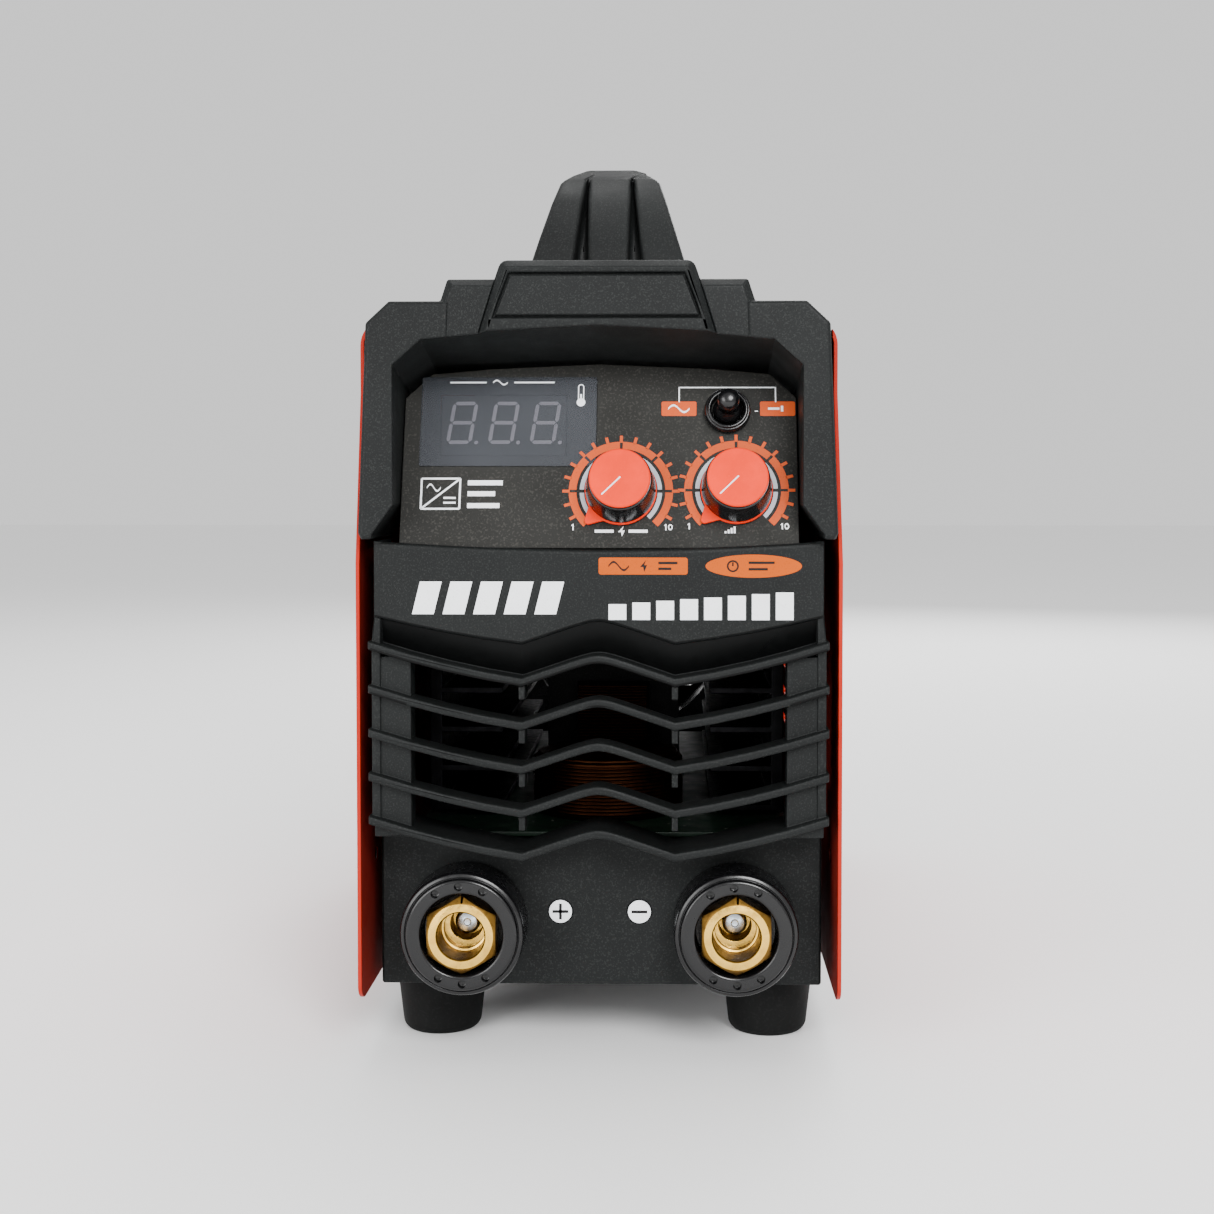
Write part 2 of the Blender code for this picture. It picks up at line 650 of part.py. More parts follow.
def vent_slots(side):
    """Long slots in one side of the cover, ahead of the fan."""
    low, high = sorted((side * (COVER_HALF_WIDTH - 3), side * (COVER_HALF_WIDTH + 5)))
    slots = []
    for i in range(VENT_COUNT):
        z = VENT_LOW_Z + VENT_PITCH * i
        outline = rectangle(VENT_Y, (z - VENT_HALF_HEIGHT, z + VENT_HALF_HEIGHT))
        slots.append(side_prism("slot", rounded(outline, 1.3, 1), low, high))
    return slots


def screw_places():
    return [(side, y, z) for side in (-1, 1) for y in SCREW_Y for z in SCREW_Z]


def make_cover():
    cover = prism("case_cover", cover_outline(False), -152.0, 146.0, "red_paint")
    cut(cover, prism("inside", cover_outline(True), -160.0, 160.0))
    for low, high in ((-170.0, -COVER_NOTCH_Y), (COVER_NOTCH_Y, 170.0)):
        cut(cover, block("notch", (-68.4, low, 205.0), (68.4, high, 240.0)))
    corner = [(y * 7.0 - 145.0, z * 5.0 + COVER_BOTTOM + 5.0) for y, z in quarter_turn()]
    corner += [(-154.0, COVER_BOTTOM - 2.0), (-154.0, COVER_BOTTOM + 5.0)]
    cut(cover, side_prism("corner", corner, -80.0, 80.0))
    for side in (-1, 1):
        cut(cover, *vent_slots(side))
    for side, y, z in screw_places():
        hole = turned("hole", [(0, -4), (2.2, -4), (2.2, 4), (0, 4)], 12)
        hole.matrix_world = Matrix.Translation(Vector((side * cover_half_width(z), y, z)) * MM) \
            @ Matrix.Rotation(math.pi / 2, 4, "Y")
        cut(cover, hole)


def make_screws():
    names = ("left_front_low", "left_front_high", "left_rear_low", "left_rear_high",
             "right_front_low", "right_front_high", "right_rear_low", "right_rear_high")
    profile = [(0, -1.1), (1.9, -1.1), (1.9, GAP), (4.0, GAP), (3.7, 1.2), (2.4, 2.0), (0, 2.2)]
    for name, (side, y, z) in zip(names, screw_places()):
        screw = turned("cover_screw_" + name, profile, 12, "zinc_steel")
        screw.matrix_world = Matrix.Translation(Vector((side * cover_half_width(z), y, z)) * MM) \
            @ Matrix.Rotation(side * math.pi / 2, 4, "Y")


def make_chassis():
    half, wall = CHASSIS_HALF_WIDTH, SHEET
    outline = mirrored([(half, BODY_BOTTOM), (half, 42.0), (half - wall, 42.0),
                        (half - wall, BODY_BOTTOM + wall)])
    prism("base_chassis", outline, LOWER_FACE_Y + 3.0, REAR_FACE_Y - REAR_WALL - 0.5, "chassis_paint")


def make_feet():
    top = BODY_BOTTOM - GAP
    profile = [(4.0, 0.0), (11.4, 0.0), (12.1, 0.6), (FOOT_BOTTOM_RADIUS, 1.8),
               (FOOT_TOP_RADIUS, top), (0, top), (0, 12.0), (4.0, 12.0)]
    for side, side_name in ((-1, "left"), (1, "right")):
        for end, end_name in ((-1, "front"), (1, "rear")):
            foot = turned(f"foot_{end_name}_{side_name}", profile, 28, "rubber")
            placed(foot, upright_frame(side * FOOT_X, end * FOOT_Y, 0.0))


# ---------------------------------------------------------------- handle

def make_handle():
    base = COVER_TOP + GAP
    outer = [(HANDLE_BASE_HALF_LENGTH, base), (84.0, 236.0), (76.0, 256.0), (68.0, 269.5),
             (58.0, 278.6), (44.0, 284.2), (22.0, 286.1), (0.0, HANDLE_TOP)]
    inner = [(0.0, GRIP_UNDERSIDE), (30.0, 257.4), (42.0, 255.0), (50.0, 248.5), (56.0, 236.0),
             (61.0, base)]
    profile = outer + [(-y, z) for y, z in outer[-2::-1]]
    profile += [(-y, z) for y, z in inner[::-1]] + inner[1:]
    handle = side_prism("handle", profile, -45.0, 45.0, "black_plastic")
    # Seen from the front: sides that lean in, and a crowned top
    front_view = mirrored([(HANDLE_HALF_WIDTH, base - 5), (HANDLE_HALF_WIDTH - 0.6, base),
                           (17.3, 277.0), (13.6, 281.2), (9.4, 284.1), (4.8, 285.9),
                           (0.0, HANDLE_TOP + 0.1)])
    combined(handle, [prism("front_view", front_view, -120.0, 120.0)], "INTERSECT")
    # The grip between the two posts is narrower than they are
    for side in (-1, 1):
        x0, x1 = sorted((side * GRIP_HALF_WIDTH, side * 60.0))
        waist = rounded([(-45.0, 240.0), (45.0, 240.0), (52.0, 290.0), (-52.0, 290.0)], 3.0, 2)
        cut(handle, side_prism("waist", waist, x0, x1))
    # Two tapering grooves beside the spine of each post
    for end in (-1, 1):
        for side in (-1, 1):
            rings = []
            for z, near, far, front, back in ((base - 4, 6.4, 15.5, 92.0, 79.0),
                                              (252.0, 6.9, 11.5, 84.0, 71.0),
                                              (279.0, 7.5, 8.6, 72.0, 55.0),
                                              (290.0, 7.2, 8.6, 66.0, 40.0)):
                rings.append([(side * near, end * front, z), (side * far, end * front, z),
                              (side * (far - 1.0), end * back, z), (side * near, end * back, z)])
            cut(handle, loft("groove", rings))


# ---------------------------------------------------------------- rear

def rear_outline():
    return mirrored([(69.9, BODY_BOTTOM), (69.9, 150.0), (68.3, 200.0), (67.3, 219.5),
                     (60.5, SHOULDER_TOP),
                     (45.6, SHOULDER_TOP), (43.6, STEP_TOP), (30.4, STEP_TOP), (28.3, CROWN_TOP)])


def make_rear_panel():
    outline = rear_outline()
    front = COVER_NOTCH_Y + GAP
    panel = prism("rear_panel", outline[::-1], REAR_FACE_Y, front, "black_plastic")
    pocket = [(x * 0.955, z + (3.0 if z < 100 else -3.4)) for x, z in outline]
    cut(panel, prism("pocket", pocket, front - 5, REAR_FACE_Y - REAR_WALL))
    # The chassis passes under the pocket's lower edge
    cut(panel, block("sill", (-65.3, front - 5, BODY_BOTTOM - 2),
                     (65.3, REAR_FACE_Y - REAR_WALL, BODY_BOTTOM + 22)))
    # Slots in front of the fan, their ends on a circle
    for i in range(-4, 5):
        middle, reach = i * GRILL_SLOT_PITCH, GRILL_SLOT_WIDTH / 2
        half = math.sqrt((FAN_THROAT_RADIUS - 1.6) ** 2 - (abs(middle) + reach) ** 2)
        outline = rectangle((-half, half), (FAN_Z + middle - reach, FAN_Z + middle + reach))
        cut(panel, prism("slot", rounded(outline, 2.0, 2), REAR_FACE_Y - 8, REAR_FACE_Y + 5))
    x, z = SWITCH_PLACE
    cut(panel, block("cutout", (x - 10.5, 140.0, z - 13.5), (x + 10.5, 160.0, z + 13.5)))
    cut(panel, prism("gland_hole", circle(8.8, 24, GLAND_PLACE), 140.0, 160.0))


def make_power_switch():
    x, z = SWITCH_PLACE
    face = REAR_FACE_Y + GAP
    body = block("power_switch_body", (x - 12.5, face, z - 15.5), (x + 12.5, face + 2.0, z + 15.5),
                 "gloss_black")
    union(body, block("can", (x - 10.0, face - 20.0, z - 13.0), (x + 10.0, face + 1.0, z + 13.0)))
    cut(body, block("mouth", (x - 8.0, face - 12.0, z - 11.0), (x + 8.0, face + 6.0, z + 11.0)))
    half, dish = 9.6, 0.8
    outline = [(-half, -1.0), (-half, 5.6), (0.0, 5.6 - dish), (half, 5.6), (half, -1.0),
               (0.0, -7.0)]
    rings = [[(side * 7.6, y, z) for y, z in outline] for side in (-1, 1)]
    rocker = loft("power_rocker", rings, "red_plastic")
    placed(rocker, rear_frame(x, face - 1.5, z) @ Matrix.Rotation(ROCKER_REST, 4, "X"))


def make_gland():
    frame = rear_frame(GLAND_PLACE[0], REAR_FACE_Y, GLAND_PLACE[1])
    reach = HALF_LENGTH - REAR_FACE_Y
    body = [(5.6, -14.0), (8.3, -14.0), (8.3, GAP), (12.0, GAP), (12.0, 4.5), (10.2, 5.0),
            (10.2, reach - 3.0), (9.0, reach - 0.8), (7.6, reach), (5.6, reach)]
    placed(turned("cable_gland", body, 24, "rubber"), frame)
    nut = [(8.7, -7.6), (12.5, -7.6), (12.5, -3.3), (8.7, -3.3)]
    placed(turned("gland_nut", nut, 6 * 4, "gloss_black"), frame)


def make_fan():
    half = FAN_SIZE / 2
    front, back = REAR_FACE_Y - REAR_WALL - 1.0 - FAN_DEPTH, REAR_FACE_Y - REAR_WALL - 1.0
    outline = rounded(rectangle((-half, half), (FAN_Z - half, FAN_Z + half)), 5.0, 3)
    frame = prism("fan_frame", outline, front, back, "gloss_black")
    cut(frame, prism("throat", circle(FAN_THROAT_RADIUS, 36, (0, FAN_Z)), front - 1, back + 1))
    hub = prism("motor", circle(FAN_HUB_RADIUS, 20, (0, FAN_Z)), back - 3.0, back)
    struts = []
    for i in range(FAN_STRUTS):
        strut = block("strut", (-2.0, -1.2, 12.0), (2.0, 1.2, FAN_THROAT_RADIUS + 1.0))
        strut.matrix_world = Matrix.Translation(Vector((0, back - 1.5, FAN_Z)) * MM) \
            @ Matrix.Rotation(math.tau * i / FAN_STRUTS, 4, "Y")
        struts.append(strut)
    union(frame, union(hub, *struts))

    impeller = prism("fan_impeller", circle(FAN_HUB_RADIUS, 28, (0, FAN_Z)), front + 2.0,
                     back - 3.6, "black_plastic")
    middle = (front + back) / 2 - 1.5
    blades = []
    for i in range(FAN_BLADES):
        blade = block("blade", (-8.5, -0.8, 15.0), (8.5, 0.8, FAN_THROAT_RADIUS - 2.0))
        blade.matrix_world = Matrix.Translation(Vector((0, middle, FAN_Z)) * MM) \
            @ Matrix.Rotation(math.tau * i / FAN_BLADES, 4, "Y") \
            @ Matrix.Rotation(math.radians(38), 4, "Z")
        blades.append(blade)
    union(impeller, *blades)


# ---------------------------------------------------------------- electronics

BOARD_Z = 62.0
BOARD_THICKNESS = 1.6


def make_heatsink(name, side):
    """An extrusion: an upright base plate with fins towards the middle of the case."""
    outer_x, root_x, tip_x = 58.0, 54.0, 34.0
    low, height, fins, thickness = BOARD_Z + 4.0, 92.0, 8, 2.0
    pitch = (height - thickness) / (fins - 1)
    outline = [(outer_x, low), (outer_x, low + height)]
    for i in reversed(range(fins)):
        fin = low + i * pitch
        outline += [(tip_x, fin + thickness), (tip_x, fin)]
        if i:
            outline += [(root_x, fin), (root_x, fin - pitch + thickness)]
    return prism(name, [(side * x, z) for x, z in outline], -95.0, 75.0, "anodised_black")


def make_electronics():
    block("main_board", (-60.0, -118.0, BOARD_Z), (60.0, 100.0, BOARD_Z + BOARD_THICKNESS),
          "board_green")
    for name, side in (("board_rail_left", -1), ("board_rail_right", 1)):
        x0, x1 = sorted((side * 50.0, side * 53.0))
        block(name, (x0, -105.0, BODY_BOTTOM + SHEET + GAP), (x1, 90.0, BOARD_Z - GAP), "aluminium")
    for name, side in (("heatsink_left", -1), ("heatsink_right", 1)):
        make_heatsink(name, side)
    top = BOARD_Z + BOARD_THICKNESS + GAP
    core = block("transformer_core", (-24.0, -30.0, top), (24.0, 8.0, top + 46.0), "ferrite")
    cut(core, block("window", (-13.0, -40.0, top + 9.0), (13.0, 20.0, top + 37.0)))
    block("transformer_winding", (-12.6, -40.0, top + 9.4), (12.6, 18.0, top + 36.6), "copper")
    choke = turned("output_choke", [(9.0, 0.0), (23.0, 0.0), (25.0, 2.0), (25.0, 18.0), (23.0, 20.0),
                                    (9.0, 20.0), (7.0, 18.0), (7.0, 2.0)], 24, "copper")
    placed(choke, upright_frame(0.0, -80.0, top))
    for name, y in (("capacitor_front", 34.0), ("capacitor_rear", 68.0)):
        can = turned(name, [(0, 0), (14.0, 0), (15.0, 1.0), (15.0, 47.0), (14.0, 48.0), (0, 48.0)],
                     20, "capacitor_sleeve")
        placed(can, upright_frame(0.0, y, top))


def main():
    clear_scene()
    make_hood()
    make_front_panel()
    make_controls()
    make_socket("positive", -SOCKET_X)
    make_socket("negative", SOCKET_X)
    make_cover()
    make_screws()
    make_chassis()
    make_feet()
    make_handle()
    make_rear_panel()
    make_power_switch()
    make_gland()
    make_fan()
    make_electronics()


main()
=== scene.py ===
"""The looks of the stick welding inverter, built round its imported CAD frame.

Sizes are in millimetres and are scaled to metres when a mesh is made. X is the machine's
right as seen from its front, Y points from the front to the back, and Z is up.
"""

import math

import bmesh
import bpy
from mathutils import Matrix, Vector


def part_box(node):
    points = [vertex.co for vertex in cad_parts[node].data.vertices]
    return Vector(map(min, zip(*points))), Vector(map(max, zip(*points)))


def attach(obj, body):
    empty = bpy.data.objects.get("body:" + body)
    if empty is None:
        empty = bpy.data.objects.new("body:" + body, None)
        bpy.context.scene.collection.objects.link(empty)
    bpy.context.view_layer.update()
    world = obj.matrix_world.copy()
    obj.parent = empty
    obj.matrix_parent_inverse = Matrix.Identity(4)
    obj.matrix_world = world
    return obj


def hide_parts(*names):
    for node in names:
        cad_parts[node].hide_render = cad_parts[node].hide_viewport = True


MM = 0.001

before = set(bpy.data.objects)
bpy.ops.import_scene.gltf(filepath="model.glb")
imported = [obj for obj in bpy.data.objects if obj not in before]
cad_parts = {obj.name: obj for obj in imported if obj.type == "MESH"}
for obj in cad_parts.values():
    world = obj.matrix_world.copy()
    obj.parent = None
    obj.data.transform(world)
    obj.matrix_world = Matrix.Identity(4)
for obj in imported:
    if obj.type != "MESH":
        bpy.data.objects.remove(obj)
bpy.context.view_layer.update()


def node_box(node):
    """Lowest and highest corner of a CAD node, in millimetres."""
    low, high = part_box(node)
    return low / MM, high / MM


def node_centre(node):
    """Middle of a CAD node's box, in millimetres."""
    low, high = node_box(node)
    return (low + high) / 2


# Planes of the machine, the same as in the CAD
PANEL_TILT = math.radians(18.0)
PANEL_FOOT = (0.0, -151.7, 155.0)
LOGO_FACE_Y = -154.0
PLATE_Y = -137.0
REAR_FACE_Y = 150.0

# The scoop under the logo face lies between these heights and in front of this plane
SCOOP_Z = (108.0, 140.0)
SCOOP_BACK_Y = -147.0

# Control panel: places and sizes on its slope
WINDOW_LOW = (-53.8, 25.3)
WINDOW_HIGH = (-1.4, 53.0)
WINDOW_RIM = 0.28
MASK_HOLE_LOW = (-48.6, 28.8)
MASK_HOLE_HIGH = (-10.0, 48.4)
DIGITS_CENTRE = (-29.2, 39.4)
DIGIT_HEIGHT = 13.6
DIGIT_PITCH = 12.6
DIGIT_LEAN = math.radians(8.0)
KNOB_PLACES = {"arc_force": (6.4, 17.1), "amp": (40.7, 17.4)}
KNOB_HEIGHT = 13.2
DIAL_RADIUS = 13.2
POINTER_ANGLE = math.radians(225.0)
TOGGLE_PLACE = (38.2, 42.0)

# Sockets, in front of the lower plate
INSULATOR_FACE = 17.5
CONTACT_FACE = 18.5
CONTACT_NECK = 9.3
CONTACT_FLATS = 20.4
DIMPLE_ANGLES = (64, 93, 122, 242, 271, 300)
DIMPLE_RING = 14.5

# Sheet cover
COVER_HALF_WIDTH = 70.0
COVER_FLARE_Z = (150.0, 200.0)
COVER_SHEET = 1.2
COVER_BEND = 8.0
COVER_INSIDE_X = 60.0
NOTCH_HALF_WIDTH = 68.4
NOTCH_FOOT_Z = 205.0
VENT_ENDS_Y = (43.6, 106.4)
VENT_LOW_Z = 70.0
VENT_PITCH = 12.0
VENT_COUNT = 7
VENT_RADIUS = 1.6
SCREW_HOLES_Y = (-125.5, 128.0)
SCREW_HOLES_Z = (58.0, 186.0)
SCREW_HOLE_RADIUS = 2.2

# Shading: angles in degrees, and how far a corner's normal may part from its face's
SMOOTH_BELOW = 30.0
BEVEL_ABOVE = 30.0
LEAST_AGREEMENT = 0.4


# ---------------------------------------------------------------- camera, light, floor

def aim_camera():
    """A camera half a metre in front, level with the knobs and a little right of the middle."""
    data = bpy.data.cameras.new("camera")
    data.sensor_width = 36.0
    data.lens = 50.9
    data.shift_x = -0.028
    data.shift_y = -0.055
    camera = bpy.data.objects.new("camera", data)
    camera.location = Vector((22.6, -656.0, 174.5)) * MM
    camera.rotation_euler = (math.radians(90.0 - 2.0), 0.0, math.radians(1.15))
    bpy.context.scene.collection.objects.link(camera)
    bpy.context.scene.camera = camera


def area_light(name, place, target, size, power):
    """A round lamp that faces a target, in metres and watts."""
    data = bpy.data.lights.new(name, "AREA")
    data.shape = "DISK"
    data.size = size
    data.energy = power
    light = bpy.data.objects.new(name, data)
    light.location = place
    direction = Vector(target) - Vector(place)
    light.rotation_euler = direction.to_track_quat("-Z", "Y").to_euler()
    bpy.context.scene.collection.objects.link(light)


def light_studio():
    """Four soft lamps and a white surround."""
    area_light("key", (0.40, -1.35, 0.85), (0.0, -0.1, 0.13), 0.6, 25.0)
    area_light("fill", (-0.85, -1.10, 0.45), (0.0, -0.1, 0.13), 0.8, 13.0)
    area_light("top", (0.0, 0.25, 1.5), (0.0, 0.0, 0.1), 0.9, 9.0)
    area_light("back", (0.4, 1.3, 0.8), (0.0, 0.1, 0.13), 0.8, 14.0)
    world = bpy.data.worlds.new("studio")
    world.use_nodes = True
    background = world.node_tree.nodes["Background"]
    background.inputs["Color"].default_value = (1.0, 1.0, 1.0, 1.0)
    background.inputs["Strength"].default_value = 1.0
    bpy.context.scene.world = world


def lay_floor():
    """A wide, plain floor under the feet."""
    mesh = bpy.data.meshes.new("floor")
    reach = 6.0
    mesh.from_pydata([(-reach, -reach, 0), (reach, -reach, 0), (reach, reach, 0), (-reach, reach, 0)],
                     [], [(0, 1, 2, 3)])
    floor = bpy.data.objects.new("floor", mesh)
    bpy.context.scene.collection.objects.link(floor)
    mesh.materials.append(FINISH["floor"])


# ---------------------------------------------------------------- materials

class Shader:
    """A Principled material whose colour, roughness and relief come from procedural nodes."""

    def __init__(self, name, colour, roughness, metallic=0.0):
        self.material = bpy.data.materials.new(name)
        self.material.use_nodes = True
        self.tree = self.material.node_tree
        self.principled = self.tree.nodes["Principled BSDF"]
        self.colour = (*colour, 1.0)
        self.principled.inputs["Base Color"].default_value = self.colour
        self.principled.inputs["Roughness"].default_value = roughness
        self.principled.inputs["Metallic"].default_value = metallic
        self.place = self.node("ShaderNodeTexCoord").outputs["Object"]
        self.roughness = roughness
        self.bump = None

    def node(self, kind, **inputs):
        """A new node, its inputs linked or set by name."""
        made = self.tree.nodes.new(kind)
        for key, value in inputs.items():
            socket = made.inputs[key.replace("_", " ")]
            if isinstance(value, bpy.types.NodeSocket):
                self.tree.links.new(value, socket)
            else:
                socket.default_value = value
        return made

    def noise(self, size_mm, detail=2.0):
        """A noise whose blotches are about size_mm wide."""
        made = self.node("ShaderNodeTexNoise", Vector=self.place, Scale=1.0 / (size_mm * MM),
                         Detail=detail)
        return made.outputs["Fac"]

    def remap(self, value, low, high, to_low, to_high):
        """Maps a value from one range to another."""
        made = self.node("ShaderNodeMapRange", Value=value, From_Min=low, From_Max=high,
                         To_Min=to_low, To_Max=to_high)
        return made.outputs["Result"]

    def blend_colour(self, factor, other):
        """Lays another colour over what is there, by a factor."""
        mix = self.tree.nodes.new("ShaderNodeMix")
        mix.data_type = "RGBA"
        first, second = mix.inputs[6], mix.inputs[7]
        socket = self.principled.inputs["Base Color"]
        if socket.is_linked:
            self.tree.links.new(socket.links[0].from_socket, first)
        else:
            first.default_value = self.colour
        second.default_value = (*other, 1.0)
        self.tree.links.new(factor, mix.inputs[0])
        self.tree.links.new(mix.outputs[2], socket)
        return self

    def mottle(self, size_mm, amount, tone=1.6):
        """Slow change of tone across the surface."""
        other = tuple(c * tone for c in self.colour[:3])
        factor = self.remap(self.noise(size_mm, 4.0), 0.35, 0.7, 0.0, amount)
        return self.blend_colour(factor, other)

    def speckle(self, size_mm, amount, colour, threshold=0.62):
        """Fine specks of another colour."""
        factor = self.remap(self.noise(size_mm, 1.0), threshold, threshold + 0.1, 0.0, amount)
        return self.blend_colour(factor, colour)

    def vary_roughness(self, size_mm, spread):
        """Lets the roughness wander by a spread either way."""
        rough = self.remap(self.noise(size_mm, 5.0), 0.3, 0.7, self.roughness - spread,
                           self.roughness + spread)
        self.tree.links.new(rough, self.principled.inputs["Roughness"])
        return self

    def relief(self, height, depth_mm, strength=0.5):
        """Adds a height to the surface's bump."""
        bump = self.node("ShaderNodeBump", Height=height, Distance=depth_mm * MM, Strength=strength)
        if self.bump:
            self.tree.links.new(self.bump, bump.inputs["Normal"])
        self.bump = bump.outputs["Normal"]
        self.tree.links.new(self.bump, self.principled.inputs["Normal"])
        return self

    def rings(self, spacing_mm):
        """Turning marks round the local Z axis."""
        wave = self.node("ShaderNodeTexWave", Vector=self.place, Scale=0.3 / (spacing_mm * MM),
                         Distortion=0.6, Detail=1.0)
        wave.wave_type = "RINGS"
        wave.rings_direction = "Z"
        return wave.outputs["Fac"]

    def set(self, **values):
        """Sets other inputs of the Principled node by name."""
        for key, value in values.items():
            self.principled.inputs[key.replace("_", " ")].default_value = value
        return self


def textured_plastic(name, colour, roughness, grain_mm, depth_mm, speck):
    """Moulded plastic with a spark-eroded texture, a little dust and faint handling marks."""
    made = Shader(name, colour, roughness)
    made.mottle(38.0, 0.6, 1.8)
    made.speckle(grain_mm * 1.5, 0.6, speck, 0.56)
    made.speckle(0.9, 0.25, tuple(c * 0.8 for c in speck), 0.68)
    made.vary_roughness(12.0, 0.07)
    made.relief(made.noise(grain_mm, 2.0), depth_mm, 0.55)
    made.relief(made.noise(5.0, 3.0), 0.03, 0.35)
    made.set(Specular_IOR_Level=0.15)
    return made.material


def gloss_plastic(name, colour, roughness, speck=(0.02, 0.02, 0.02), shine=0.4):
    """Smooth moulded plastic with soft flow waves and fine wipe marks."""
    made = Shader(name, colour, roughness)
    made.mottle(9.0, 0.4, 1.5)
    made.speckle(0.5, 0.3, speck, 0.66)
    made.vary_roughness(3.0, 0.06)
    made.relief(made.noise(3.0, 2.0), 0.012, 0.3)
    made.relief(made.noise(0.35, 1.0), 0.003, 0.3)
    made.set(Specular_IOR_Level=shine)
    return made.material


def powder_paint(name, colour, roughness, dark):
    """Powder coat: orange peel, a slow change of tone and sparse dust."""
    made = Shader(name, colour, roughness)
    made.blend_colour(made.remap(made.noise(55.0, 3.0), 0.35, 0.75, 0.0, 0.5), dark)
    made.speckle(0.8, 0.18, tuple(min(1.0, c * 1.5 + 0.05) for c in colour), 0.67)
    made.vary_roughness(20.0, 0.07)
    made.relief(made.noise(1.1, 1.5), 0.05, 0.45)
    made.relief(made.noise(0.35, 1.0), 0.012, 0.4)
    made.set(Specular_IOR_Level=0.16)
    return made.material


def worked_metal(name, colour, roughness, tarnish, spacing_mm=0.35):
    """Turned and milled metal: fine turning marks, tarnish in blotches, small pits."""
    made = Shader(name, colour, roughness, 1.0)
    made.blend_colour(made.remap(made.noise(4.0, 5.0), 0.42, 0.72, 0.0, 0.75), tarnish)
    made.speckle(0.35, 0.4, tuple(c * 0.45 for c in tarnish), 0.70)
    made.vary_roughness(1.6, 0.12)
    made.relief(made.rings(spacing_mm), 0.012, 0.35)
    made.relief(made.noise(0.5, 3.0), 0.015, 0.3)
    return made.material


def plain_print(name, colour, roughness=0.5):
    """Screen-printed ink: slightly uneven cover over the grain beneath."""
    made = Shader(name, colour, roughness)
    made.speckle(0.35, 0.35, tuple(c * 0.55 for c in colour), 0.60)
    made.mottle(6.0, 0.25, 0.82)
    made.vary_roughness(2.0, 0.06)
    made.relief(made.noise(0.30, 2.0), 0.03, 0.5)
    made.set(Specular_IOR_Level=0.1)
    return made.material


def smoked_lens():
    """A grey, partly clear window with fine scratches and dust."""
    made = Shader("smoked_lens", (0.048, 0.052, 0.060), 0.34)
    made.speckle(0.8, 0.10, (0.070, 0.074, 0.084), 0.50)
    made.mottle(16.0, 0.5, 1.3)
    made.vary_roughness(4.0, 0.05)
    made.relief(made.noise(1.4, 2.0), 0.001, 0.1)
    made.set(Alpha=0.48, Specular_IOR_Level=0.2)
    return made.material


def wound_wire():
    """Enamelled copper wire, wound side by side; its very dark brown is painted shade for the inside of
    the case, and the grooves between turns are darker still as painted shade.
    """
    # a very dark brown: painted shade for the inside of the case
    made = Shader("copper", (0.042, 0.013, 0.005), 0.42, 1.0)
    wave = made.node("ShaderNodeTexWave", Vector=made.place, Scale=0.3 / (1.1 * MM), Distortion=0.3)
    wave.bands_direction = "Z"
    # painted shade: darker in the grooves between the turns
    made.blend_colour(made.remap(wave.outputs["Fac"], 0.0, 0.5, 0.7, 0.0), (0.010, 0.004, 0.002))
    made.vary_roughness(3.0, 0.1)
    made.relief(wave.outputs["Fac"], 0.4, 0.8)
    return made.material


def circuit_board():
    """Solder mask over tracks, with pads and flux marks; its very dark green is painted shade for the
    inside of the case.
    """
    made = Shader("board_green", (0.0015, 0.008, 0.0035), 0.45)
    tracks = made.node("ShaderNodeTexVoronoi", Vector=made.place, Scale=180.0)
    tracks.distance = "CHEBYCHEV"
    distance = tracks.outputs["Distance"]
    made.blend_colour(made.remap(distance, 0.30, 0.36, 0.0, 0.8), (0.0025, 0.015, 0.0065))
    made.blend_colour(made.remap(distance, 0.07, 0.05, 0.0, 1.0), (0.30, 0.30, 0.28))
    made.vary_roughness(8.0, 0.1)
    made.relief(distance, 0.05, 0.5)
    return made.material


def floor_paper():
    """Matt white paper with a slight unevenness."""
    made = Shader("floor", (0.93, 0.93, 0.93), 0.85)
    made.mottle(400.0, 0.2, 0.97)
    made.relief(made.noise(3.0, 2.0), 0.05, 0.2)
    return made.material


